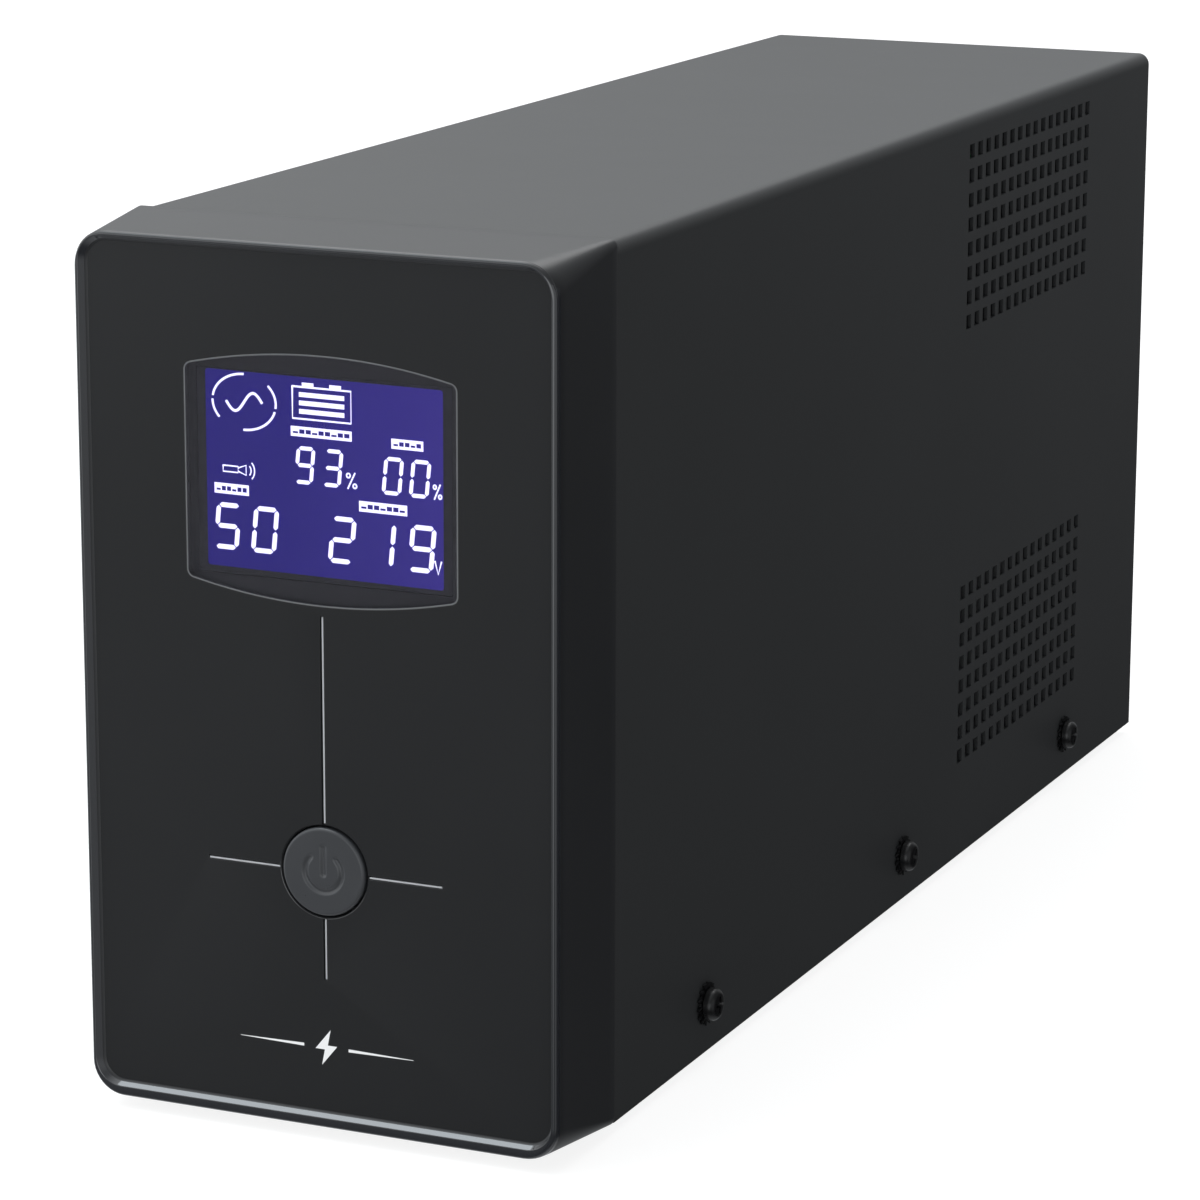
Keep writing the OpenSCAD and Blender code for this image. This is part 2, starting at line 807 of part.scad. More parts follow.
module port_board() {
    color("#1f6b3a") from_front()
        block([usb_x - 10, rear_in_y - 22, port_low_z - board_t], [jack_x[1] - usb_x + 22, 21.5, board_t]);
}

module usb_port() {
    color("#c4c6c8") from_front() difference() {
        centred_block(usb_x, rear_y - 16, port_low_z, [usb_shell[0], 16 + port_out, usb_shell[1]]);
        centred_block(usb_x, rear_y - 9, port_low_z + 1.5, [8.5, 12, 7.8]);
    }
}

module usb_tongue() {
    color("#f2f2ee") from_front() centred_block(usb_x, rear_y - 9, port_z - 2.8, [5.6, 8, 3.2]);
}

module surge_jacks() {
    depth = 17;
    color("#2a2b2e") from_front() difference() {
        centred_block(jack_mid_x, rear_y - depth, port_low_z,
            [jack_body[0], depth + port_out, jack_body[1]]);
        for (x = jack_x) {
            centred_block(x, rear_y - 13, port_low_z + 3, [11.8, 15, 8.4]);
            centred_block(x, rear_y - 6, port_low_z + 1.2, [6, 8, 3]);
        }
    }
}

module jack_contacts() {
    pitch = 1.02;
    color("#d4b45a") from_front() for (x = jack_x, i = [0 : 7])
        centred_block(x + (i - 3.5) * pitch, rear_y - 12.9, port_z + 3.3, [0.45, 9, 0.6]);
}

module earth_screw() {
    color("#c9a24a") from_front() screw_back([earth_x, rear_y, inlet_z], 1.9, 10, 3.6, 2.4);
}

module battery_case() {
    color("#3a3c40") from_front()
        centred_block(0, battery_y, battery_z, [battery_w, battery_l, battery_case_h]);
}

module battery_lid() {
    cap_r = 6;
    cap_pitch = 23;
    color("#55585d") from_front() difference() {
        centred_block(0, battery_y, battery_z + battery_case_h, [battery_w, battery_l, battery_lid_h]);
        for (i = [0 : 5]) rod_z([0, battery_y + 18 + i * cap_pitch, battery_top - 0.6], cap_r, 2);
    }
}

module battery_terminals() {
    color("#c8c8c4") from_front() for (s = [-1, 1])
        centred_block(s * terminal_x, terminal_y, battery_top, terminal);
}

// Foam strips under the battery and a block that the bridge presses on it
module battery_pads() {
    color("#6d7075") from_front() {
        for (y = [62, 165]) centred_block(0, y, floor_z, [55, 18, pad_t]);
        centred_block(0, 100, battery_top, [40, 50, bridge_top - bridge_t - battery_top]);
    }
}

module battery_bridge() {
    len = bridge_y[1] - bridge_y[0];
    color("#9a9da0") from_front() difference() {
        union() {
            along_y(bridge_y[0], len) translate([0, floor_z]) difference() {
                translate([-bridge_half, 0]) square([2 * bridge_half, bridge_top - floor_z]);
                translate([bridge_t - bridge_half, -1])
                    square([2 * (bridge_half - bridge_t), bridge_top - floor_z - bridge_t + 1]);
            }
            for (s = [-1, 1]) centred_block(s * (bridge_half + bridge_foot) / 2, bridge_y[0], floor_z,
                [bridge_foot - bridge_half + 0.4, len, bridge_t]);
        }
        for (at = bridge_screw_at) rod_z([at[0], at[1], floor_z - 1], screw_hole_r, 4);
        for (s = [-1, 1]) block([s * bridge_half - 2, bridge_y[0] + 20, 24], [4, len - 40, 68]);
        for (s = [-1, 1], y = standoff_y) rod_z([s * standoff_x, y, bridge_top - 3], standoff_bore_r, 5);
    }
}

// A lead with its push-on sleeve, from a battery terminal to the main board
module battery_lead(s) {
    x = s * terminal_x;
    sleeve_z = battery_top + 0.6;
    sleeve = [3.4, 7.5, 9];
    slot = [1, 6.5, 6.6];
    wire_z = sleeve_z + sleeve[2] - overlap;
    from_front() {
        difference() {
            centred_block(x, terminal_y - 0.6, sleeve_z, sleeve);
            centred_block(x, terminal_y - 0.1, sleeve_z - 1, slot);
        }
        rod_z([x, terminal_y + terminal[1] / 2, wire_z], 1.6, main_z - wire_z);
    }
}

module battery_lead_red() { color("#b3261e") battery_lead(1); }
module battery_lead_black() { color("#18181a") battery_lead(-1); }

module board_standoffs() {
    color("#d9c27a") from_front() for (s = [-1, 1], y = standoff_y) difference() {
        rod_z([s * standoff_x, y, bridge_top], 3, standoff_h);
        rod_z([s * standoff_x, y, bridge_top - 1], standoff_bore_r, standoff_h + 2);
    }
}

module main_board() {
    color("#1f6b3a") from_front() difference() {
        block([-main_w / 2, main_y[0], main_z], [main_w, main_y[1] - main_y[0], board_t]);
        for (s = [-1, 1], y = standoff_y) rod_z([s * standoff_x, y, main_z - 1], board_hole_r, board_t + 2);
    }
}

// Screws of both circuit boards
module board_screws() {
    color("silver") from_front() {
        for (s = [-1, 1], y = standoff_y) translate([s * standoff_x, y, main_top])
            screw(1.2, 7, head_r, head_h);
        for (s = [-1, 1], z = display_post_z)
            screw_back([s * display_post_x, display_board_back, z], 1.05, 6, 2.4, 1.6);
    }
}

module heatsinks() {
    y0 = 98;
    len = 62;
    h = 30;
    fin_pitch = 6;
    color("#b8bcc0") from_front() for (s = [-1, 1]) {
        centred_block(s * 26, y0, main_top, [2.6, len, h]);
        for (i = [0 : 4]) centred_block(s * 31, y0, main_top + 3 + i * fin_pitch, [8, len, 1.4]);
    }
}

module mosfets() {
    pitch = 15;
    color("#1b1b1d") from_front() for (s = [-1, 1], i = [0 : 3])
        centred_block(s * 22.4, 101 + i * pitch, main_top + 5, [4.6, 10, 15]);
}

module capacitors() {
    color("#2b3f73") from_front() {
        for (x = [-14, 8]) rod_z([x, 80, main_top], 8, 31);
        for (x = [-15, 0, 15]) rod_z([x, 174, main_top], 5, 16);
    }
}

module relays() {
    relay = [15.5, 19, 15.5];
    color("#27324f") from_front() for (at = [[-10, 122], [10, 122], [0, 146]])
        centred_block(at[0], at[1], main_top, relay);
}

module chips() {
    color("#202124") from_front() {
        centred_block(-8, 96, main_top, [7.6, 22, 3.6]);
        centred_block(8, 98, main_top, [7.6, 12, 3.6]);
    }
}

module board_connectors() {
    color("#efece2") from_front() {
        centred_block(0, main_y[0] + 1, main_top, [16, 7, ribbon_plug_h]);
        centred_block(0, main_y[1] - 8, main_top, [56, 7, 10]);
        centred_block(0, display_board_back, display_plug_z, display_plug);
    }
}

module transformer_core() {
    mid = floor_z + core_h / 2;
    color("#6b6e72") from_front() along_y(core_y, core_t) translate([0, mid]) difference() {
        square([core_w, core_h], center = true);
        for (s = [-1, 1]) translate([s * (leg_w + window_gap_w) / 2, 0])
            square([window_gap_w, window_gap_h], center = true);
    }
}

// Outline in x and y of a ring round the middle leg, from one size to another
module leg_ring(inner, outer) {
    translate([0, core_y + core_t / 2]) difference() {
        square([leg_w + 2 * outer, core_t + 2 * outer], center = true);
        square([leg_w + 2 * inner, core_t + 2 * inner], center = true);
    }
}

module transformer_bobbin() {
    low = floor_z + (core_h - window_gap_h) / 2 + 0.1;
    h = window_gap_h - 0.2;
    reach = window_gap_w - 0.2;
    color("#d8cfae") from_front() translate([0, 0, low]) {
        linear_extrude(h) leg_ring(0.1, 1.1);
        linear_extrude(1) leg_ring(0.1, reach);
        translate([0, 0, h - 1]) linear_extrude(1) leg_ring(0.1, reach);
    }
}

module transformer_coil() {
    low = floor_z + (core_h - window_gap_h) / 2 + 1.2;
    color("#b5651d") from_front() translate([0, 0, low]) linear_extrude(window_gap_h - 2.4)
        leg_ring(1.2, window_gap_w - 0.6);
}

module transformer_bracket() {
    half = core_w / 2 + strap_t;
    color("#85888c") from_front() difference() {
        union() {
            along_y(core_y, core_t) translate([0, floor_z]) difference() {
                translate([-half, 0]) square([2 * half, core_h + strap_t]);
                translate([-core_w / 2, -1]) square([core_w, core_h + 1]);
            }
            for (s = [-1, 1]) centred_block(s * (half + strap_foot) / 2, core_y, floor_z,
                [strap_foot - half + 0.4, core_t, strap_t]);
        }
        for (at = transformer_screw_at) rod_z([at[0], at[1], floor_z - 1], screw_hole_r, 4);
    }
}

front_bezel();
front_panel();
display_window();
power_button();
lcd_glass();
lcd_backlight();
lcd_frame();
display_board();
button_switch();
switch_plunger();
buzzer();
ribbon_cable();
cover();
base_pan();
front_bulkhead();
rear_panel();
cover_screws();
cover_washers();
bezel_screws();
bulkhead_screws();
rear_panel_screws();
feet();
socket_upper();
socket_lower();
socket_contacts();
earth_clips();
mains_inlet();
inlet_pins();
inlet_screws();
breaker_body();
breaker_nut();
breaker_button();
port_board();
usb_port();
usb_tongue();
surge_jacks();
jack_contacts();
earth_screw();
battery_case();
battery_lid();
battery_terminals();
battery_pads();
battery_bridge();
bridge_screws();
battery_lead_red();
battery_lead_black();
board_standoffs();
main_board();
board_screws();
heatsinks();
mosfets();
capacitors();
relays();
chips();
board_connectors();
transformer_core();
transformer_bobbin();
transformer_coil();
transformer_bracket();
transformer_screws();
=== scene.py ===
"""Looks of an uninterruptible power supply in a tower case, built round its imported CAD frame.

Everything is in metres in the CAD frame: +Z up, the front faces -Y. Places come from the
frame's own boxes. Pieces whose CAD shape is right keep it and get a procedural material;
the front, the display, the power button, the side screws and the feet are rebuilt here in
finer mesh.
"""

import json
import math
import random

import bmesh
import bpy
from mathutils import Matrix, Vector


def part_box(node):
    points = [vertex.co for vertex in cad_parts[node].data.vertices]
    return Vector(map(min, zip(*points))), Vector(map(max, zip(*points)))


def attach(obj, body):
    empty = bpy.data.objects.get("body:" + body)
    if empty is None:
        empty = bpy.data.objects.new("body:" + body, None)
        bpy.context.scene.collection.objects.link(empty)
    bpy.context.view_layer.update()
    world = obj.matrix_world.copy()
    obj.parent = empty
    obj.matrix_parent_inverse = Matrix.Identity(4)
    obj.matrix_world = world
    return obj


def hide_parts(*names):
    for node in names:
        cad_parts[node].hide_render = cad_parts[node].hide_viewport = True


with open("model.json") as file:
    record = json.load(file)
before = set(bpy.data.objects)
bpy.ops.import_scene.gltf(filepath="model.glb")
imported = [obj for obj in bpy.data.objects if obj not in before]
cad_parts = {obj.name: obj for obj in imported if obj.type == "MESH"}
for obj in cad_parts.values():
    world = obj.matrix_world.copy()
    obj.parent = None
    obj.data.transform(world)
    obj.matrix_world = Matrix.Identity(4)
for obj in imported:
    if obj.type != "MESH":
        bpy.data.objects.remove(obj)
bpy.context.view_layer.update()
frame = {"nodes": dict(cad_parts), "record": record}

MM = 0.001
CASE = "case"
BUTTON = "power_button"

# ---------------------------------------------------------------- places, from the frame

bezel_lo, bezel_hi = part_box("front_bezel")
panel_lo, panel_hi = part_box("front_panel")
window_lo, window_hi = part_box("display_window")
glass_lo, glass_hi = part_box("lcd_glass")
button_lo, button_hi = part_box("power_button")
cover_lo, cover_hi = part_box("cover")
screws_lo, screws_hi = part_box("cover_screws")
washers_lo, washers_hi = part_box("cover_washers")
feet_lo, feet_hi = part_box("feet")

FRONT = bezel_lo.y
PANEL_Y = panel_lo.y
PANEL_BACK = panel_hi.y
BEZEL_BACK = cover_lo.y - 0.3 * MM
WINDOW_Z = (window_lo.z + window_hi.z) / 2
DISPLAY_Z = (glass_lo.z + glass_hi.z) / 2
BUTTON_Z = (button_lo.z + button_hi.z) / 2
WINDOW_X = (window_lo.x + window_hi.x) / 2
BUTTON_X = (button_lo.x + button_hi.x) / 2
# The button has a collar behind the panel, this much wider than its cap
COLLAR = 1.7 * MM
BUTTON_R = (button_hi.x - button_lo.x) / 2 - COLLAR
HOLE_R = BUTTON_R + 0.3 * MM
# The panel's middle is this far right of the bezel's, seen from the front
PANEL_SHIFT = 0.6 * MM


# ---------------------------------------------------------------- materials


def link(tree, source, target):
    """Joins one node's output to another's input."""
    tree.links.new(source, target)


def shader(name, color, roughness, metallic=0.0, specular=0.5, coat=0.0, coat_roughness=0.1):
    """A Principled material with its constant values on the shader's own sockets."""
    made = bpy.data.materials.new(name)
    made.use_nodes = True
    bsdf = made.node_tree.nodes["Principled BSDF"]
    bsdf.inputs["Base Color"].default_value = (*color, 1.0)
    bsdf.inputs["Roughness"].default_value = roughness
    bsdf.inputs["Metallic"].default_value = metallic
    bsdf.inputs["Specular IOR Level"].default_value = specular
    bsdf.inputs["Coat Weight"].default_value = coat
    bsdf.inputs["Coat Roughness"].default_value = coat_roughness
    return made


def noise(tree, cell, detail=2.0, stretch=(1, 1, 1)):
    """Noise with features about cell metres wide, in the object's own space."""
    place = tree.nodes.new("ShaderNodeTexCoord")
    mapping = tree.nodes.new("ShaderNodeMapping")
    mapping.inputs["Scale"].default_value = stretch
    texture = tree.nodes.new("ShaderNodeTexNoise")
    texture.inputs["Scale"].default_value = 1 / cell
    texture.inputs["Detail"].default_value = detail
    link(tree, place.outputs["Object"], mapping.inputs["Vector"])
    link(tree, mapping.outputs["Vector"], texture.inputs["Vector"])
    return texture.outputs["Fac"]


def spread(tree, value, low, high):
    """Maps the middle of a noise value onto low to high."""
    node = tree.nodes.new("ShaderNodeMapRange")
    node.inputs["From Min"].default_value = 0.3
    node.inputs["From Max"].default_value = 0.7
    node.inputs["To Min"].default_value = low
    node.inputs["To Max"].default_value = high
    link(tree, value, node.inputs["Value"])
    return node.outputs["Result"]


def vary_color(made, cell, amount):
    """Lets the base colour drift darker and lighter over patches cell metres wide."""
    tree = made.node_tree
    bsdf = tree.nodes["Principled BSDF"]
    base = Vector(bsdf.inputs["Base Color"].default_value[:3])
    ramp = tree.nodes.new("ShaderNodeValToRGB")
    ramp.color_ramp.elements[0].position = 0.3
    ramp.color_ramp.elements[1].position = 0.7
    ramp.color_ramp.elements[0].color = (*(base * (1 - amount)), 1)
    ramp.color_ramp.elements[1].color = (*(base * (1 + amount)), 1)
    link(tree, noise(tree, cell, 3.0), ramp.inputs["Fac"])
    link(tree, ramp.outputs["Color"], bsdf.inputs["Base Color"])


def vary_gloss(made, cell, amount, stretch=(1, 1, 1)):
    """Lets the roughness drift by amount over patches cell metres wide."""
    tree = made.node_tree
    bsdf = tree.nodes["Principled BSDF"]
    middle = bsdf.inputs["Roughness"].default_value
    low, high = max(0.02, middle - amount), middle + amount
    link(tree, spread(tree, noise(tree, cell, 4.0, stretch), low, high), bsdf.inputs["Roughness"])


def add_grain(made, cell, depth, detail=2.0, stretch=(1, 1, 1)):
    """A bumpy surface with grains cell metres wide and depth metres deep."""
    tree = made.node_tree
    bump = tree.nodes.new("ShaderNodeBump")
    bump.inputs["Distance"].default_value = depth
    link(tree, noise(tree, cell, detail, stretch), bump.inputs["Height"])
    link(tree, bump.outputs["Normal"], tree.nodes["Principled BSDF"].inputs["Normal"])


def grained(name, color, roughness, cell, depth, drift=0.08, gloss=0.05, **sockets):
    """The usual finish: fine grain, and slow drifts of colour and gloss."""
    made = shader(name, color, roughness, **sockets)
    vary_color(made, 22 * MM, drift)
    vary_gloss(made, 9 * MM, gloss)
    add_grain(made, cell, depth)
    return made


def powder_coat():
    """Black powder paint on steel: a fine orange peel under a low sheen."""
    made = shader("powder_coat", (0.021, 0.022, 0.0232), 0.42, specular=0.42)
    vary_color(made, 80 * MM, 0.04)
    vary_gloss(made, 60 * MM, 0.012)
    add_grain(made, 0.7 * MM, 0.010 * MM, 3.0)
    return made


def bezel_plastic():
    """Moulded black plastic with a spark-eroded texture."""
    made = shader("bezel_plastic", (0.014, 0.0145, 0.016), 0.36, specular=0.45)
    vary_color(made, 30 * MM, 0.04)
    vary_gloss(made, 40 * MM, 0.015)
    add_grain(made, 0.35 * MM, 0.006 * MM, 2.0)
    return made


def gloss_panel():
    """Polished black plastic with the faint haze that wiping leaves."""
    made = shader("gloss_panel", (0.012, 0.0125, 0.0135), 0.12, coat=0.6, coat_roughness=0.05)
    vary_color(made, 40 * MM, 0.05)
    vary_gloss(made, 30 * MM, 0.02, stretch=(1, 1, 0.25))
    add_grain(made, 3.0 * MM, 0.0008 * MM, 1.0)
    return made


def rim_gloss():
    """Polished plastic, on the rim's rounding and on the bevel inside it."""
    made = shader("rim_gloss", (0.016, 0.017, 0.02), 0.10, coat=1.0, coat_roughness=0.06)
    vary_color(made, 25 * MM, 0.05)
    vary_gloss(made, 10 * MM, 0.02)
    return made


def smoked_lens():
    """Clear plastic with a light smoke tint."""
    made = shader("smoked_lens", (0.62, 0.62, 0.68), 0.02)
    bsdf = made.node_tree.nodes["Principled BSDF"]
    bsdf.inputs["Transmission Weight"].default_value = 1.0
    bsdf.inputs["IOR"].default_value = 1.3
    vary_gloss(made, 12 * MM, 0.012)
    return made


def glow(name, color, strength, edge=None):
    """A lit surface. With an edge colour, the light drifts towards it across the display."""
    made = shader(name, color, 0.4, specular=0.2)
    tree = made.node_tree
    bsdf = tree.nodes["Principled BSDF"]
    bsdf.inputs["Emission Color"].default_value = (*color, 1.0)
    bsdf.inputs["Emission Strength"].default_value = strength
    if edge is not None:
        # How fast the light drifts in x and in z, per metre
        along, up = 20, 12
        place = tree.nodes.new("ShaderNodeTexCoord")
        mapping = tree.nodes.new("ShaderNodeMapping")
        mapping.inputs["Location"].default_value = (0.5, 0, -DISPLAY_Z * up)
        mapping.inputs["Scale"].default_value = (along, 1, up)
        gradient = tree.nodes.new("ShaderNodeTexGradient")
        gradient.gradient_type = "LINEAR"
        ramp = tree.nodes.new("ShaderNodeValToRGB")
        ramp.color_ramp.elements[0].color = (*color, 1)
        ramp.color_ramp.elements[1].color = (*edge, 1)
        ramp.color_ramp.elements[0].position = 0.35
        link(tree, place.outputs["Object"], mapping.inputs["Vector"])
        link(tree, mapping.outputs["Vector"], gradient.inputs["Vector"])
        link(tree, gradient.outputs["Fac"], ramp.inputs["Fac"])
        link(tree, ramp.outputs["Color"], bsdf.inputs["Emission Color"])
    return made


def brushed(name, color, roughness, cell=0.5 * MM, stretch=(1, 0.05, 1)):
    """Bare or plated metal with a faint drawn grain along the case."""
    made = shader(name, color, roughness, metallic=1.0)
    vary_color(made, 18 * MM, 0.07)
    vary_gloss(made, 2 * MM, 0.07, stretch)
    add_grain(made, cell, 0.004 * MM, 2.0, stretch)
    return made


LOOKS = {
    "bezel_black": bezel_plastic(),
    "panel_gloss": gloss_panel(),
    "smoked_lens": smoked_lens(),
    "button_grey": grained("button_grey", (0.038, 0.040, 0.044), 0.31, 0.3 * MM, 0.003 * MM, drift=0.04),
    "lcd": grained("lcd_block", (0.004, 0.004, 0.01), 0.15, 1 * MM, 0.001 * MM),
    "light_guide": grained("light_guide", (0.7, 0.75, 0.9), 0.25, 0.6 * MM, 0.003 * MM),
    "white_plastic": grained("white_plastic", (0.72, 0.72, 0.68), 0.42, 0.5 * MM, 0.006 * MM),
    "black_plastic": grained("black_plastic", (0.018, 0.018, 0.019), 0.42, 0.4 * MM, 0.008 * MM),
    "circuit_board": grained("circuit_board", (0.012, 0.12, 0.04), 0.32, 0.9 * MM, 0.01 * MM, drift=0.25),
    "ribbon": grained("ribbon", (0.42, 0.43, 0.46), 0.45, 0.6 * MM, 0.01 * MM),
    "steel_black": powder_coat(),
    "steel_zinc": brushed("steel_zinc", (0.42, 0.43, 0.45), 0.36),
    "screw_zinc": brushed("screw_zinc", (0.5, 0.51, 0.53), 0.28, stretch=(1, 1, 1)),
    "screw_black": grained("screw_black", (0.0045, 0.0045, 0.005), 0.3, 0.25 * MM, 0.004 * MM,
                           specular=0.4),
    "foot_rubber": grained("foot_rubber", (0.022, 0.022, 0.022), 0.82, 0.5 * MM, 0.03 * MM),
    "socket_plastic": grained("socket_plastic", (0.02, 0.021, 0.024), 0.38, 0.4 * MM, 0.008 * MM),
    "brass": brushed("brass", (0.62, 0.42, 0.14), 0.26),
    "nickel": brushed("nickel", (0.66, 0.65, 0.61), 0.2),
    "breaker_red": grained("breaker_red", (0.5, 0.02, 0.012), 0.3, 0.5 * MM, 0.006 * MM),
    "battery_grey": grained("battery_grey", (0.05, 0.052, 0.058), 0.45, 0.6 * MM, 0.012 * MM),
    "battery_lid_grey": grained("battery_lid_grey", (0.1, 0.105, 0.115), 0.45, 0.6 * MM, 0.012 * MM),
    "foam": grained("foam", (0.1, 0.1, 0.105), 0.92, 0.8 * MM, 0.12 * MM),
    "lead_red": grained("lead_red", (0.45, 0.015, 0.012), 0.42, 0.6 * MM, 0.006 * MM),
    "lead_black": grained("lead_black", (0.016, 0.016, 0.017), 0.42, 0.6 * MM, 0.006 * MM),
    "aluminium": brushed("aluminium", (0.72, 0.73, 0.75), 0.3),
    "capacitor_blue": grained("capacitor_blue", (0.02, 0.04, 0.16), 0.25, 1 * MM, 0.004 * MM),
    "relay_blue": grained("relay_blue", (0.015, 0.03, 0.09), 0.28, 0.6 * MM, 0.004 * MM),
    "lamination": brushed("lamination", (0.18, 0.18, 0.19), 0.45, 0.5 * MM, (1, 1, 0.02)),
    "bobbin": grained("bobbin", (0.6, 0.53, 0.32), 0.4, 0.5 * MM, 0.006 * MM),
    "winding": brushed("winding", (0.5, 0.2, 0.06), 0.35, 0.8 * MM, (0.05, 0.05, 1)),
}
RIM = rim_gloss()
# Painted highlight: the bright grey strips in the grooves stand in for the light caught by the grooves'
# walls
GROOVE_HIGHLIGHT = grained("painted_groove_highlight", (0.62, 0.63, 0.65), 0.35, 0.5 * MM, 0.001 * MM, drift=0.03, metallic=0.5)
# Painted highlight: a grey ring round the window in place of the light on the window's edge
WINDOW_EDGE_HIGHLIGHT = grained("painted_window_edge_highlight", (0.19, 0.195, 0.20), 0.35, 0.5 * MM, 0.001 * MM,
                     drift=0.03, metallic=0.4)
PRINT = grained("white_print", (0.8, 0.8, 0.8), 0.35, 0.5 * MM, 0.001 * MM, drift=0.03)
GLOW_BLUE = glow("display_blue", (0.017, 0.010, 0.175), 1.0, edge=(0.042, 0.026, 0.25))
GLOW_WHITE = glow("display_white", (0.80, 0.78, 1.0), 2.0)

for row in frame["record"]["subparts"]:
    node = frame["nodes"][row["node"]]
    node.data.materials.clear()
    node.data.materials.append(LOOKS[row["material_slot"]])


# ---------------------------------------------------------------- mesh helpers


def settle(piece, body, replaced=(), sharp=20.0):
    """Gives a finished piece its shading and body, and hides the CAD nodes that it stands for."""
    piece.data.shade_smooth()
    piece.data.set_sharp_from_angle(angle=math.radians(sharp))
    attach(piece, body)
    if replaced:
        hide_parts(*replaced)


def piece_from(name, bm, looks):
    """Turns a bmesh into a linked object with its materials."""
    bmesh.ops.recalc_face_normals(bm, faces=bm.faces)
    mesh = bpy.data.meshes.new(name)
    bm.to_mesh(mesh)
    bm.free()
    for look in looks:
        mesh.materials.append(look)
    piece = bpy.data.objects.new(name, mesh)
    bpy.context.scene.collection.objects.link(piece)
    return piece


def corner_loop(half_w, low, high, r, y, steps=10, shift=0):
    """A rounded rectangle in x and z at depth y, its middle at x = shift."""
    loop = []
    for cx, cz, start in ((half_w - r, high - r, 0), (r - half_w, high - r, 90),
                          (r - half_w, low + r, 180), (half_w - r, low + r, 270)):
        for i in range(steps + 1):
            a = math.radians(start + 90 * i / steps)
            loop.append(Vector((shift + cx + r * math.cos(a), y, cz + r * math.sin(a))))
    return loop


def loft(bm, loops):
    """Quads from each loop to the next, and from the last back to the first."""
    rings = [[bm.verts.new(p) for p in loop] for loop in loops]
    for a, b in zip(rings, rings[1:] + rings[:1]):
        for i in range(len(a)):
            j = (i + 1) % len(a)
            bm.faces.new((a[i], a[j], b[j], b[i]))


def plate(bm, outlines, y, thickness, bevel=0.0, look=0):
    """A flat plate facing -Y: the first outline less the others, as points in x and z."""
    made = bmesh.new()
    for outline in outlines:
        ring = [made.verts.new((x, y, z)) for x, z in outline]
        for i in range(len(ring)):
            made.edges.new((ring[i], ring[(i + 1) % len(ring)]))
    bmesh.ops.triangle_fill(made, edges=made.edges[:], use_beauty=True, use_dissolve=False)
    grown = bmesh.ops.extrude_face_region(made, geom=made.faces[:])
    moved = [v for v in grown["geom"] if isinstance(v, bmesh.types.BMVert)]
    bmesh.ops.translate(made, verts=moved, vec=(0, thickness, 0))
    bmesh.ops.recalc_face_normals(made, faces=made.faces)
    if bevel:
        made.normal_update()
        edges = [e for e in made.edges if e.calc_face_angle(0.0) > math.radians(60)
                 and max(-f.normal.y for f in e.link_faces) > 0.99]
        bmesh.ops.bevel(made, geom=edges, offset=bevel, segments=2, affect="EDGES", profile=0.5)
    add_bmesh(bm, made, look)


def add_bmesh(bm, other, look=0):
    """Copies another bmesh into bm and frees it."""
    mesh = bpy.data.meshes.new("part")
    other.to_mesh(mesh)
    other.free()
    before = len(bm.faces)
    bm.from_mesh(mesh)
    bm.faces.ensure_lookup_table()
    for face in bm.faces[before:]:
        face.material_index = look
    bpy.data.meshes.remove(mesh)


def lathe(bm, profile, at, axis, steps):
    """Turns (radius, height) points about an axis that starts at a point."""
    turn = Vector((0, 0, 1)).rotation_difference(Vector(axis)).to_matrix()
    rings = []
    for r, h in profile:
        if r < 1e-7:
            rings.append([bm.verts.new(Vector(at) + turn @ Vector((0, 0, h)))])
            continue
        rings.append([bm.verts.new(Vector(at) + turn @ Vector((r * math.cos(t), r * math.sin(t), h)))
                      for t in (2 * math.pi * i / steps for i in range(steps))])
    for a, b in zip(rings, rings[1:]):
        for i in range(steps):
            j = (i + 1) % steps
            if len(a) == 1:
                face = (a[0], b[j], b[i])
            elif len(b) == 1:
                face = (a[i], a[j], b[0])
            else:
                face = (a[i], a[j], b[j], b[i])
            bm.faces.new(face)
    return rings


def circle_points(x, z, r, steps):
    """A circle round a point, as points in x and z."""
    return [(x + r * math.cos(2 * math.pi * i / steps), z + r * math.sin(2 * math.pi * i / steps))
            for i in range(steps)]


def box_points(x0, x1, z0, z1):
    """The four corners of a rectangle, from the lower left one round."""
    return [(x0, z0), (x1, z0), (x1, z1), (x0, z1)]


def window_points(shrink):
    """The window's outline: straight sides, wide arcs above and below, filleted corners."""
    half_w = (window_hi.x - window_lo.x) / 2 - shrink
    half_h = (window_hi.z - window_lo.z) / 2 - shrink
    sag = 3.2 * MM
    arc_steps, fillet_steps = 24, 6
    full_w = half_w + shrink
    arc_r = (full_w * full_w + sag * sag) / (2 * sag) - shrink
    drop = arc_r - half_h
    fillet = max(0.4 * MM, 1.6 * MM - shrink)
    fillet_z = math.sqrt((arc_r - fillet) ** 2 - (half_w - fillet) ** 2) - drop
    turn = math.atan2(fillet_z + drop, half_w - fillet)
    quarter = []
    for i in range(fillet_steps + 1):
        a = turn * i / fillet_steps
        quarter.append((half_w - fillet + fillet * math.cos(a), fillet_z + fillet * math.sin(a)))
    top = [(arc_r * math.cos(a), arc_r * math.sin(a) - drop)
           for a in (turn + (math.pi - 2 * turn) * i / arc_steps for i in range(1, arc_steps))]
    upper = quarter + top + [(-x, z) for x, z in reversed(quarter)]
    lower = [(-x, -z) for x, z in upper]
    return [(WINDOW_X + x, WINDOW_Z + z) for x, z in upper + lower]


# ---------------------------------------------------------------- camera, light and floor


def make_camera():
    """The viewing angle, distance and lens of the product view."""
    data = bpy.data.cameras.new("camera")
    data.lens = 136.817
    data.sensor_width = 36
    data.clip_end = 50
    camera = bpy.data.objects.new("camera", data)
    camera.location = (0.362545, -0.864291, 0.287491)
    camera.rotation_euler = (math.radians(76.5683), math.radians(-0.1545), math.radians(23.8968))
    bpy.context.scene.collection.objects.link(camera)
    bpy.context.scene.camera = camera


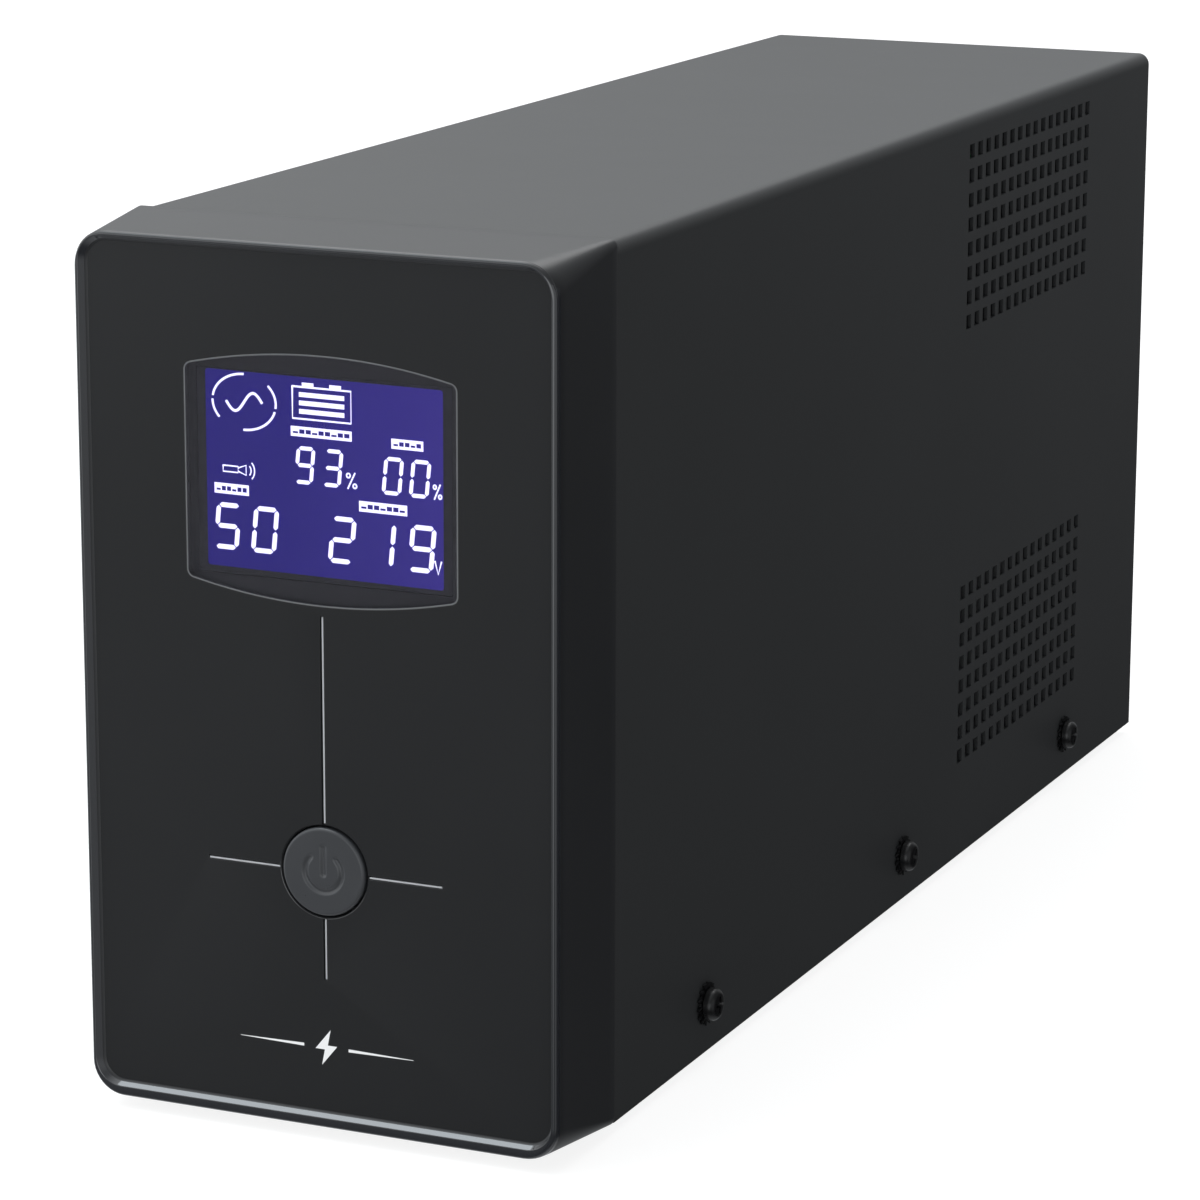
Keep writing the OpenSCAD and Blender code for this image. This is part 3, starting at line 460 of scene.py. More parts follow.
def make_floor():
    """A pale floor that is partly lit from within, so that shadows on it stay faint."""
    bm = bmesh.new()
    reach = 12
    bm.faces.new([bm.verts.new((x, y, 0)) for x, y in box_points(-reach, reach, -reach, reach)])
    look = shader("floor_white", (0.25, 0.25, 0.25), 0.6, specular=0.0)
    bsdf = look.node_tree.nodes["Principled BSDF"]
    bsdf.inputs["Emission Color"].default_value = (1, 1, 1, 1)
    bsdf.inputs["Emission Strength"].default_value = 0.86
    vary_color(look, 0.4, 0.01)
    floor = piece_from("floor", bm, [look])
    floor.visible_glossy = False


def add_up(tree, first, second):
    """The sum of two values."""
    node = tree.nodes.new("ShaderNodeMath")
    node.operation = "ADD"
    link(tree, first, node.inputs[0])
    link(tree, second, node.inputs[1])
    return node.outputs["Value"]


def lobe(tree, direction, toward, inner, outer, level):
    """Light of one level within inner degrees of a direction, gone at outer degrees."""
    aim = tree.nodes.new("ShaderNodeVectorMath")
    aim.operation = "DOT_PRODUCT"
    aim.inputs[1].default_value = Vector(toward).normalized()
    fade = tree.nodes.new("ShaderNodeMapRange")
    fade.interpolation_type = "SMOOTHSTEP"
    fade.inputs["From Min"].default_value = math.cos(math.radians(outer))
    fade.inputs["From Max"].default_value = math.cos(math.radians(inner))
    fade.inputs["To Min"].default_value = 0
    fade.inputs["To Max"].default_value = level
    link(tree, direction, aim.inputs[0])
    link(tree, aim.outputs["Value"], fade.inputs["Value"])
    return fade.outputs["Result"]


# Cards round the object, dark ones with a level below zero: direction, degrees of full
# light, degrees where it ends, level
SKY_LOBES = (
    ((-0.44, -0.86, -0.25), 8, 40, -0.21),
    ((0.20, -0.97, 0.02), 4, 28, 1.5),
    ((0.90, -0.40, 0.10), 16, 43, 0.5),
    ((-0.10, 0.30, -0.95), 25, 60, 0.42),
    ((-0.15, 0.96, 0.25), 5, 45, 0.24),
    ((-0.60, 0.75, 0.28), 6, 32, -0.35),
    ((-0.88, 0.40, -0.28), 12, 32, 2.2),
    ((0.35, 0.80, -0.50), 10, 45, -0.12),
)


def make_sky():
    """A soft sky, brighter up and to the left, with pale and dark cards round the object."""
    world = bpy.data.worlds.new("studio")
    bpy.context.scene.world = world
    world.use_nodes = True
    tree = world.node_tree
    direction = tree.nodes.new("ShaderNodeTexCoord").outputs["Generated"]
    base = lobe(tree, direction, (-0.70, -0.10, 0.70), 0, 180, 1)
    ramp = tree.nodes.new("ShaderNodeValToRGB")
    stops = ((0.0, 0.03), (0.12, 0.07), (0.5, 0.26), (0.72, 0.46), (0.88, 1.0), (1.0, 1.7))
    elements = ramp.color_ramp.elements
    while len(elements) < len(stops):
        elements.new(0.5)
    for element, (at, level) in zip(elements, stops):
        element.position = at
        element.color = (level, level, level, 1)
    link(tree, base, ramp.inputs["Fac"])
    total = ramp.outputs["Color"]
    for toward, inner, outer, level in SKY_LOBES:
        total = add_up(tree, total, lobe(tree, direction, toward, inner, outer, level))
    sky = tree.nodes["Background"]
    sky.inputs["Color"].default_value = (0.95, 0.98, 1.0, 1)
    no_less = tree.nodes.new("ShaderNodeMath")
    no_less.operation = "MAXIMUM"
    no_less.inputs[1].default_value = 0.0
    link(tree, total, no_less.inputs[0])
    link(tree, no_less.outputs["Value"], sky.inputs["Strength"])


def softbox(name, at, size, watts, color=(1, 1, 1)):
    """A rectangular light that faces the object's middle."""
    data = bpy.data.lights.new(name, "AREA")
    data.shape = "RECTANGLE"
    data.size, data.size_y = size
    data.energy = watts
    data.color = color
    light = bpy.data.objects.new(name, data)
    light.location = at
    middle = Vector((0, 0, 0.08))
    light.rotation_euler = (middle - Vector(at)).to_track_quat("-Z", "Y").to_euler()
    bpy.context.scene.collection.objects.link(light)


make_camera()
make_floor()
make_sky()
softbox("key", (-1.0, -0.42, 2.3), (1.5, 1.1), 19, (0.84, 0.93, 1.0))
softbox("top", (-0.3, 0.75, 1.5), (1.4, 1.4), 12.5)
bpy.context.scene.view_settings.view_transform = "Standard"


# ---------------------------------------------------------------- the front

WALL = 2.2 * MM
# The sides draw in by this much towards the front: wholly at the left and the top, by a share
# of it at the foot, and by a share of it at the right, which makes up the rest near the front
FRONT_INSET = 1.0 * MM
LOW_SHARE = 0.7
RIGHT_SHARE = 0.5
SOFT_DEEP = 3.6 * MM
# Corner radius of the outline at the front and at the back
FRONT_R = 6.4 * MM
BACK_R = 1.5 * MM
# The rim: its outer rounding, and the inner rounding with the angle that it turns through
OUTER_R = 0.6 * MM
CREST_R = 0.25 * MM
CREST_TURN = math.radians(52)
# From the panel's outline to the crest, and the factor by which that is wider at the foot
CREST_OUT = bezel_hi.x - FRONT_INSET - panel_hi.x - OUTER_R
RIM_LOW = 1.12
RECESS = PANEL_Y - FRONT


def side_outline(y, inset, r, pull=0):
    """One outline of the flared side, its right edge rounded off softly near the front."""
    near = min(1, max(0, 1 - (y - FRONT) / SOFT_DEEP))
    soft = (1 - RIGHT_SHARE) * FRONT_INSET * (1 - math.sqrt(1 - near * near))
    right = RIGHT_SHARE * inset + soft
    return corner_loop(bezel_hi.x - pull - (inset + right) / 2, bezel_lo.z + LOW_SHARE * inset + pull,
                       bezel_hi.z - inset - pull, r - pull, y, shift=(inset - right) / 2)


def flared_outline(y):
    """The side's outline at depth y, between its back edge and the rim."""
    share = (y - FRONT) / (BEZEL_BACK - FRONT)
    return side_outline(y, FRONT_INSET * (1 - share), FRONT_R + (BACK_R - FRONT_R) * share)


def bezel_side():
    """Outlines from the back edge, along the flared side and over the rim's outer rounding."""
    loops = []
    for y_in, inset, r in ((0, WALL, 0.8 * MM), (0, 0.4 * MM, BACK_R - 0.3 * MM),
                           (0.05 * MM, 0.18 * MM, BACK_R - 0.1 * MM), (0.2 * MM, 0.04 * MM, BACK_R)):
        loops.append(corner_loop(bezel_hi.x - inset, bezel_lo.z + LOW_SHARE * inset, bezel_hi.z - inset,
                                 r, BEZEL_BACK - y_in))
    flare_steps, turn_steps = 9, 8
    start, end = BEZEL_BACK - 0.5 * MM, FRONT + SOFT_DEEP
    for i in range(flare_steps + 1):
        loops.append(flared_outline(start + (end - start) * i / flare_steps))
    soft_run = SOFT_DEEP - OUTER_R - 0.05 * MM
    for i in range(1, turn_steps + 1):
        loops.append(flared_outline(end - soft_run * i / turn_steps))
    for i in range(turn_steps + 1):
        a = math.radians(90 * i / turn_steps)
        y = FRONT + OUTER_R * (1 - math.sin(a))
        loops.append(side_outline(y, FRONT_INSET, FRONT_R, OUTER_R * (1 - math.cos(a))))
    return loops


def rim_outline(depth, out):
    """The panel's outline grown by out, at a depth behind the front plane."""
    shift = PANEL_SHIFT * min(1, 1 - out / CREST_OUT)
    return corner_loop(panel_hi.x + out, panel_lo.z - RIM_LOW * out, panel_hi.z + out,
                       4.2 * MM + out, FRONT + depth, shift=shift)


def bevel_points():
    """Depth and growth over the rim's inner rounding and down the straight bevel."""
    steps = 6
    points = []
    for i in range(steps + 1):
        a = CREST_TURN * i / steps
        points.append(Vector((CREST_R * (1 - math.cos(a)), CREST_OUT - CREST_R * math.sin(a))))
    start, panel_edge = points[-1], Vector((RECESS, 0))
    shares = (0.08, 0.62, 0.7)
    return points + [start.lerp(panel_edge, share) for share in shares]


def foot_points(last):
    """Depth and growth from the bevel's last point round onto the panel, which it laps."""
    over = -0.15 * MM
    turn = Vector((RECESS - 0.03 * MM, 0.03 * MM))
    lap = Vector((RECESS - 0.015 * MM, over))
    steps = 5
    points = []
    for i in range(1, steps + 1):
        t = i / steps
        points.append(last.lerp(turn, t).lerp(turn.lerp(lap, t), t))
    return points + [Vector((RECESS - 0.004 * MM, over)), Vector((RECESS - 0.002 * MM, 0))]


def build_bezel():
    """The moulding: a flared side, a rounded rim and a polished bevel down to the panel."""
    side = bezel_side()
    bevel = bevel_points()
    back = PANEL_BACK + 2 * MM
    loops = side + [rim_outline(*point) for point in bevel + foot_points(bevel[-1])]
    loops.append(rim_outline(back - FRONT, 0))
    loops.append(corner_loop(bezel_hi.x - WALL, bezel_lo.z + WALL, bezel_hi.z - WALL, 1.6 * MM, back))
    bm = bmesh.new()
    loft(bm, loops)
    bm.faces.ensure_lookup_table()
    bm.normal_update()
    # Polished from the side's last strips to the bevel's foot; what faces up stays matt as far
    # as the crest
    strip = len(loops[0])
    side_strips, crest_strips, facing_up = 12, 3, 0.3
    polish_start = (len(side) - side_strips) * strip
    crest_end = (len(side) + crest_strips) * strip
    foot_start = (len(side) + len(bevel) - 1) * strip
    for i in range(polish_start, foot_start):
        if i >= crest_end or bm.faces[i].normal.z < facing_up:
            bm.faces[i].material_index = 1
    bezel = piece_from("bezel_shell", bm, [LOOKS["bezel_black"], RIM])
    settle(bezel, CASE, ["front_bezel"], sharp=32)


def groove_boxes():
    """The four grooves that run out from the button, as boxes in x and z."""
    half = 0.35 * MM
    start = HOLE_R + 0.3 * MM
    reach, down = 23.5 * MM, 20.4 * MM
    below_window = 1.7 * MM
    x, z = BUTTON_X, BUTTON_Z
    return {
        "up": (x - half, x + half, z + start, window_lo.z - below_window),
        "down": (x - half, x + half, z - down, z - start),
        "right": (x + start, x + reach, z - half, z + half),
        "left": (x - reach, x - start, z - half, z + half),
    }


def panel_outline(shrink, r):
    """The panel's outline less shrink all round, as points in x and z."""
    loop = corner_loop(panel_hi.x - shrink, panel_lo.z + shrink, panel_hi.z - shrink, r, 0,
                       shift=PANEL_SHIFT)
    return [(p.x, p.z) for p in loop]


def build_panel():
    """The glossy plate with its window, button hole and grooves cut right through."""
    outline = panel_outline(0.02 * MM, 4.18 * MM)
    holes = [window_points(0), circle_points(BUTTON_X, BUTTON_Z, HOLE_R + 0.3 * MM, 96)]
    holes += [box_points(*b) for b in groove_boxes().values()]
    bm = bmesh.new()
    plate(bm, [outline] + holes, PANEL_Y, PANEL_BACK - PANEL_Y, bevel=0.05 * MM)
    # The hole's edge, as growth of its radius and depth in mm
    edge = ((0.32, -0.004), (0.24, 0.03), (0.03, 0.26), (0, 0.36), (0, 2), (0.3, 2), (0.3, 0.05))
    funnel = [(HOLE_R + grown * MM, deep * MM) for grown, deep in edge]
    lathe(bm, funnel + funnel[:1], (BUTTON_X, PANEL_Y, BUTTON_Z), (0, 1, 0), 96)
    panel = piece_from("gloss_panel", bm, [LOOKS["panel_gloss"]])
    settle(panel, CASE, ["front_panel"])


def build_painted_line_highlights():
    """Painted highlights: a bright strip on a black bed in each groove, in place of the light on the
    groove's wall, and a grey ring round the window in place of the highlight on its edge.
    """
    bm = bmesh.new()
    line = 0.17 * MM
    # The groove strips sit off the middle, to the right in the upright grooves and lower in the level ones,
    # where the painted highlight falls on a wall
    right, lower = 0.12 * MM, 0.1 * MM
    sink, bed_sink = 0.12 * MM, 0.95 * MM
    hair = 0.001 * MM
    for side, (x0, x1, z0, z1) in groove_boxes().items():
        if side in ("up", "down"):
            middle = (x0 + x1) / 2 + right
            outline = box_points(middle - line, middle + line, z0 + line, z1 - line)
        else:
            middle = (z0 + z1) / 2 - lower
            outline = box_points(x0 + line, x1 - line, middle - line, middle + line)
        plate(bm, [outline], PANEL_Y + sink, 0.8 * MM, bevel=0.06 * MM)
        bed = box_points(x0 + hair, x1 - hair, z0 + hair, z1 - hair)
        plate(bm, [bed], PANEL_Y + bed_sink, 0.5 * MM, look=1)
    # A grey ring round the window, a painted highlight on the window's edge
    window_ring_highlight = [window_points(0.04 * MM), window_points(0.27 * MM)]
    plate(bm, window_ring_highlight, PANEL_Y - 0.02 * MM, 1.2 * MM, bevel=0.05 * MM, look=2)
    trim = piece_from("highlight_lines_and_groove_beds", bm, [GROOVE_HIGHLIGHT, LOOKS["bezel_black"], WINDOW_EDGE_HIGHLIGHT])
    settle(trim, CASE)


def build_surround():
    """The black web behind the panel, open for the display and the button."""
    gap = 0.1 * MM
    opening = box_points(glass_lo.x - gap, glass_hi.x + gap, glass_lo.z - gap, glass_hi.z + gap)
    hole = circle_points(BUTTON_X, BUTTON_Z, HOLE_R, 64)
    bm = bmesh.new()
    plate(bm, [panel_outline(0.3 * MM, 4 * MM), opening, hole], PANEL_BACK + 0.02 * MM, 1.96 * MM)
    surround = piece_from("display_surround", bm, [LOOKS["bezel_black"]])
    settle(surround, CASE)


def build_lens():
    """The smoked window, inside the grey ring of painted highlight round its edge."""
    thick = PANEL_BACK - PANEL_Y - 0.06 * MM
    bm = bmesh.new()
    plate(bm, [window_points(0.29 * MM)], PANEL_Y + 0.02 * MM, thick, bevel=0.06 * MM)
    lens = piece_from("smoked_window", bm, [LOOKS["smoked_lens"]])
    settle(lens, CASE, ["display_window"])


# ---------------------------------------------------------------- the display

# Digits lean right by this share of their height; sizes on the display are in mm
SLANT = 0.10
SEGMENTS = {"0": "abcdef", "1": "bc", "2": "abged", "3": "abgcd", "5": "afgcd", "9": "abcdfg"}


def segment_outline(key, w, h, s):
    """One bar of a seven-segment digit of width w and height h, with pointed ends."""
    gap = 0.14 * s
    p = s / 2
    ends = {
        "a": ((p, h - p), (w - p, h - p)), "g": ((p, h / 2), (w - p, h / 2)), "d": ((p, p), (w - p, p)),
        "f": ((p, h / 2), (p, h - p)), "b": ((w - p, h / 2), (w - p, h - p)),
        "e": ((p, p), (p, h / 2)), "c": ((w - p, p), (w - p, h / 2)),
    }
    (x0, y0), (x1, y1) = ends[key]
    if y0 == y1:
        x0, x1 = x0 + gap, x1 - gap
        return [(x0, y0), (x0 + p, y0 - p), (x1 - p, y0 - p), (x1, y0), (x1 - p, y0 + p), (x0 + p, y0 + p)]
    y0, y1 = y0 + gap, y1 - gap
    return [(x0, y0), (x0 + p, y0 + p), (x0 + p, y1 - p), (x0, y1), (x0 - p, y1 - p), (x0 - p, y0 + p)]


def digit(char, u, v, w, h, s):
    """Outlines of one slanted digit whose lower left corner is at u, v on the display."""
    bars = [segment_outline(key, w, h, s) for key in SEGMENTS[char]]
    return [[(u + x + SLANT * y, v + y) for x, y in bar] for bar in bars]


def number(text, u, v, w, h, s, pitch):
    """Outlines of digits in a row, pitch apart."""
    return [o for i, char in enumerate(text) for o in digit(char, u + i * pitch, v, w, h, s)]


def ring_part(u, v, ru, rv, start, end, s, steps=16):
    """A stroke of width s along part of an ellipse, angles in degrees."""
    angles = [math.radians(start + (end - start) * i / steps) for i in range(steps + 1)]
    outer = [(u + (ru + s / 2) * math.cos(a), v + (rv + s / 2) * math.sin(a)) for a in angles]
    inner = [(u + (ru - s / 2) * math.cos(a), v + (rv - s / 2) * math.sin(a)) for a in angles]
    return outer + inner[::-1]


def stroke(points, s):
    """A line of width s through points, as one outline."""
    left, right = [], []
    for i, (x, y) in enumerate(points):
        x0, y0 = points[max(0, i - 1)]
        x1, y1 = points[min(len(points) - 1, i + 1)]
        d = Vector((x1 - x0, y1 - y0)).normalized() * s / 2
        left.append((x - d.y, y + d.x))
        right.append((x + d.y, y - d.x))
    return left + right[::-1]


def percent(u, v, w, h):
    """A generic percent mark: a slanted bar between two small rings."""
    s = 0.3
    return [
        stroke([(u + 0.15 * w, v), (u + 0.85 * w, v + h)], s),
        ring_part(u + 0.22 * w, v + 0.8 * h, 0.17 * w, 0.13 * h, 0, 359.9, s, 10),
        ring_part(u + 0.82 * w, v + 0.2 * h, 0.17 * w, 0.13 * h, 0, 359.9, s, 10),
    ]


def label_bar(u0, u1, v0, v1, marks):
    """A bright bar, and the dark dashes on it that stand for a word."""
    pad = 0.32
    pitch = (u1 - u0 - 2 * pad) / marks
    gap = 0.12
    dashes = []
    for i in range(marks):
        u = u0 + pad + i * pitch
        top = 0.72 if i % 3 else 0.5
        dashes.append(box_points(u + gap, u + pitch - gap, v0 + (v1 - v0) * 0.3, v0 + (v1 - v0) * top))
    return box_points(u0, u1, v0, v1), dashes


def display_layout():
    """All bright outlines, and the dark ones on top of them, in mm from the display's middle."""
    bright, dark = [], []
    # Broken ring
    for start, end in ((90, 172), (179, 218), (-92, -15), (-8, 41)):
        bright.append(ring_part(-15.6, 12.3, 6.3, 5.0, start, end, 0.42))
    # Wave sign in the ring
    wave = [(-15.6 + 3.6 * t / 12, 12.3 + 1.7 * math.sin(math.pi * t / 12)) for t in range(-12, 13)]
    bright.append(stroke(wave, 0.5))
    # Battery: a frame, two terminals, three bars
    bright.append(stroke([(-6.0, 16.0), (-6.0, 10.3), (5.5, 10.3), (5.5, 16.0), (-6.0, 16.0)], 0.35))
    bright += [box_points(-4.1, -1.8, 16.15, 16.8), box_points(1.3, 3.6, 16.15, 16.8)]
    bright += [box_points(-4.7, 4.2, v, v + 0.85) for v in (11.2, 12.7, 14.2)]
    # Labels
    for u0, u1, v0, v1, marks in ((-6.4, 5.6, 7.1, 8.9, 9), (13.3, 19.5, 6.6, 8.4, 5),
                                  (-21.8, -14.9, -4.6, -2.7, 6), (6.9, 16.3, -5.2, -3.3, 7)):
        bar, dashes = label_bar(u0, u1, v0, v1, marks)
        bright.append(bar)
        dark += dashes
    # Figures and their units
    bright += number("93", -5.9, -1.4, 3.7, 6.8, 0.72, 5.5)
    bright += number("00", 11.3, -1.7, 3.8, 6.8, 0.72, 5.3)
    bright += number("50", -22.2, -14.7, 5.0, 8.5, 0.88, 7.5)
    bright += number("219", 0.6, -15.0, 5.0, 8.5, 0.88, 7.8)
    bright += percent(4.4, -1.4, 2.1, 3.0)
    bright += percent(21.3, -1.7, 1.7, 2.8)
    bright.append(stroke([(21.6, -12.6), (22.25, -15.0), (22.9, -12.6)], 0.32))
    # Lamp with its beam
    tube = [(-20.0, 0.55), (-17.0, 0.55), (-17.0, -0.55), (-20.0, -0.55), (-20.0, 0.6)]
    bright.append(stroke(tube, 0.25))
    bright.append(stroke([(-17.0, 0.3), (-15.4, 0.9), (-15.4, -0.9), (-17.0, -0.3)], 0.25))
    bright += [ring_part(-15.3, 0, r, r * 1.2, -50, 50, 0.25, 8) for r in (0.9, 1.6)]
    return bright, dark


def build_display():
    """The lit field, its bright signs and their dark marks, each a thin sheet over the last."""
    view_w, view_low, view_high = 46.6 * MM, DISPLAY_Z - 17.45 * MM, DISPLAY_Z + 18.1 * MM
    lift, tilt = 0.35 * MM, 0.008
    sheet = 0.012 * MM
    face = glass_lo.y

    def placed(outline):
        return [(WINDOW_X + x * MM, DISPLAY_Z + lift + (z - tilt * x) * MM) for x, z in outline]

    bm = bmesh.new()
    corners = corner_loop(view_w / 2, view_low, view_high, 0.5 * MM, 0, 4)
    field = [(WINDOW_X + p.x, p.z - tilt * p.x) for p in corners]
    plate(bm, [field], face - 2 * sheet, 2 * sheet)
    lit = piece_from("display_field", bm, [GLOW_BLUE])
    settle(lit, CASE)

    bright, dark = display_layout()
    bm = bmesh.new()
    for outline in bright:
        plate(bm, [placed(outline)], face - 4 * sheet, sheet)
    signs = piece_from("display_signs", bm, [GLOW_WHITE])
    settle(signs, CASE)

    bm = bmesh.new()
    for outline in dark:
        plate(bm, [placed(outline)], face - 6 * sheet, sheet)
    marks = piece_from("display_marks", bm, [GLOW_BLUE])
    settle(marks, CASE)


# ---------------------------------------------------------------- the button


def build_button():
    """A flat cap with a soft edge and the stand-by sign sunk in its face, on collar and stem."""
    y = button_lo.y
    stem_end = button_hi.y - y
    edge, edge_steps = 0.6 * MM, 6
    collar = PANEL_BACK + 2.1 * MM - y
    collar_end = collar + 1 * MM
    collar_r, stem_r = BUTTON_R + COLLAR - 0.1 * MM, 2 * MM
    profile = []
    for i in range(edge_steps + 1):
        a = math.radians(90 * i / edge_steps)
        profile.append((BUTTON_R - edge * (1 - math.sin(a)), edge * (1 - math.cos(a))))
    profile += [(BUTTON_R, collar), (collar_r, collar), (collar_r, collar_end), (stem_r, collar_end),
                (stem_r, stem_end), (0, stem_end)]
    bm = bmesh.new()
    rings = lathe(bm, profile, (BUTTON_X, y, BUTTON_Z), (0, 1, 0), 96)
    fill_face(bm, rings[0], y)
    cap = piece_from("button_cap", bm, [LOOKS["button_grey"]])
    settle(cap, BUTTON, ["power_button"], sharp=40)


def sign_depth(x, z):
    """How deep the stand-by sign is at a point of the button's face, from 0 to 1."""
    sign_r, half = 3.65 * MM, 0.75 * MM
    end = math.radians(46)
    if abs(math.atan2(x, z)) >= end:
        away = abs(math.hypot(x, z) - sign_r)
    else:
        away = math.hypot(abs(x) - sign_r * math.sin(end), z - sign_r * math.cos(end))
    bar_low, bar_high = -0.4 * MM, 4.6 * MM
    bar = math.hypot(x, max(0, bar_low - z, z - bar_high))
    near = min(1, min(away, bar) / half)
    return 0.5 + 0.5 * math.cos(math.pi * near)


def fill_face(bm, rim, y):
    """A fine sheet inside the cap's rim, lower where the sign is."""
    deep = 0.36 * MM
    count = 56
    last = rim
    for k in range(count - 1, 0, -1):
        share = k / count
        ring = []
        for v in rim:
            x, z = (v.co.x - BUTTON_X) * share, (v.co.z - BUTTON_Z) * share
            ring.append(bm.verts.new((BUTTON_X + x, y + deep * sign_depth(x, z), BUTTON_Z + z)))
        for i in range(len(rim)):
            j = (i + 1) % len(rim)
            bm.faces.new((last[i], last[j], ring[j], ring[i]))
        last = ring
    middle = bm.verts.new((BUTTON_X, y + deep * sign_depth(0, 0), BUTTON_Z))
    for i in range(len(rim)):
        bm.faces.new((last[i], last[(i + 1) % len(rim)], middle))


# ---------------------------------------------------------------- side screws and feet


def screw_places():
    """The six side screws: their point on the cover's face and which way they face."""
    z = (screws_lo.z + screws_hi.z) / 2
    r = (screws_hi.z - screws_lo.z) / 2
    first, last = screws_lo.y + r, screws_hi.y - r
    return [(Vector((side * cover_hi.x, y, z)), side)
            for side in (-1, 1) for y in (first, (first + last) / 2, last)]


def head_profile(head_r, under, top):
    """A pan head's profile with a stub of its shank, from the middle to the middle."""
    rise = top - under
    shank, seat, steps = under - 0.4 * MM, under + 0.02 * MM, 7
    profile = [(0, shank), (head_r * 0.45, shank), (head_r * 0.45, seat), (head_r * 0.97, seat),
               (head_r, under + 0.1 * MM), (head_r, under + rise * 0.35)]
    for i in range(1, steps + 1):
        a = math.radians(90 * i / steps)
        profile.append((head_r * (0.62 + 0.38 * math.cos(a)), under + rise * (0.35 + 0.63 * math.sin(a))))
    return profile + [(head_r * 0.3, top), (0, top)]


def build_side_screws():
    """Pan heads with a cross recess, each on a washer with twisted teeth."""
    random.seed(5)
    head_r = (screws_hi.z - screws_lo.z) / 2
    top = screws_hi.x - cover_hi.x
    under = washers_hi.x - cover_hi.x
    head = bmesh.new()
    washer = bmesh.new()
    for at, side in screw_places():
        turn = random.uniform(0, math.pi / 2)
        out = Vector((side, 0, 0))
        made = bmesh.new()
        lathe(made, head_profile(head_r, under, top), (0, 0, 0), (0, 0, 1), 40)
        cut_cross(made, head_r, top, top - under)
        place = Matrix.Translation(at) @ Vector((0, 0, 1)).rotation_difference(out).to_matrix().to_4x4()
        bmesh.ops.transform(made, matrix=place @ Matrix.Rotation(turn, 4, "Z"), verts=made.verts)
        add_bmesh(head, made)
        add_bmesh(washer, toothed_washer(place, turn))
    heads = piece_from("side_screw_heads", head, [LOOKS["screw_black"]])
    settle(heads, CASE, ["cover_screws"])
    washers = piece_from("toothed_washers", washer, [LOOKS["screw_black"]])
    settle(washers, CASE, ["cover_washers"])


def cut_cross(bm, head_r, top, rise):
    """Cuts a cross recess with sloping ends into a screw head that faces +Z."""
    mesh = bpy.data.meshes.new("head")
    bmesh.ops.recalc_face_normals(bm, faces=bm.faces)
    bm.to_mesh(mesh)
    target = bpy.data.objects.new("head", mesh)
    bpy.context.scene.collection.objects.link(target)
    cutter_bm = bmesh.new()
    for along_x in (True, False):
        long_half, short_half = head_r * 0.6, head_r * 0.12
        deep = top - rise * 0.7
        ring = []
        for z, shrink in ((top + 0.5 * MM, 1.0), (deep, 0.55)):
            a, b = long_half * shrink, short_half
            if not along_x:
                a, b = b, a
            ring.append([cutter_bm.verts.new((x, y, z)) for x, y in ((-a, -b), (a, -b), (a, b), (-a, b))])
        for i in range(4):
            j = (i + 1) % 4
            cutter_bm.faces.new((ring[0][i], ring[0][j], ring[1][j], ring[1][i]))
        cutter_bm.faces.new(ring[0])
        cutter_bm.faces.new(ring[1])
    bmesh.ops.recalc_face_normals(cutter_bm, faces=cutter_bm.faces)
    cutter_mesh = bpy.data.meshes.new("cutter")
    cutter_bm.to_mesh(cutter_mesh)
    cutter_bm.free()
    cutter = bpy.data.objects.new("cutter", cutter_mesh)
    bpy.context.scene.collection.objects.link(cutter)
    cut = target.modifiers.new("cut", "BOOLEAN")
    cut.operation = "DIFFERENCE"
    cut.solver = "EXACT"
    cut.use_self = True
    cut.object = cutter
    result = bpy.data.meshes.new_from_object(target.evaluated_get(bpy.context.evaluated_depsgraph_get()))
    bm.clear()
    bm.from_mesh(result)
    for leftover in (target, cutter):
        bpy.data.objects.remove(leftover)
    bpy.data.meshes.remove(result)


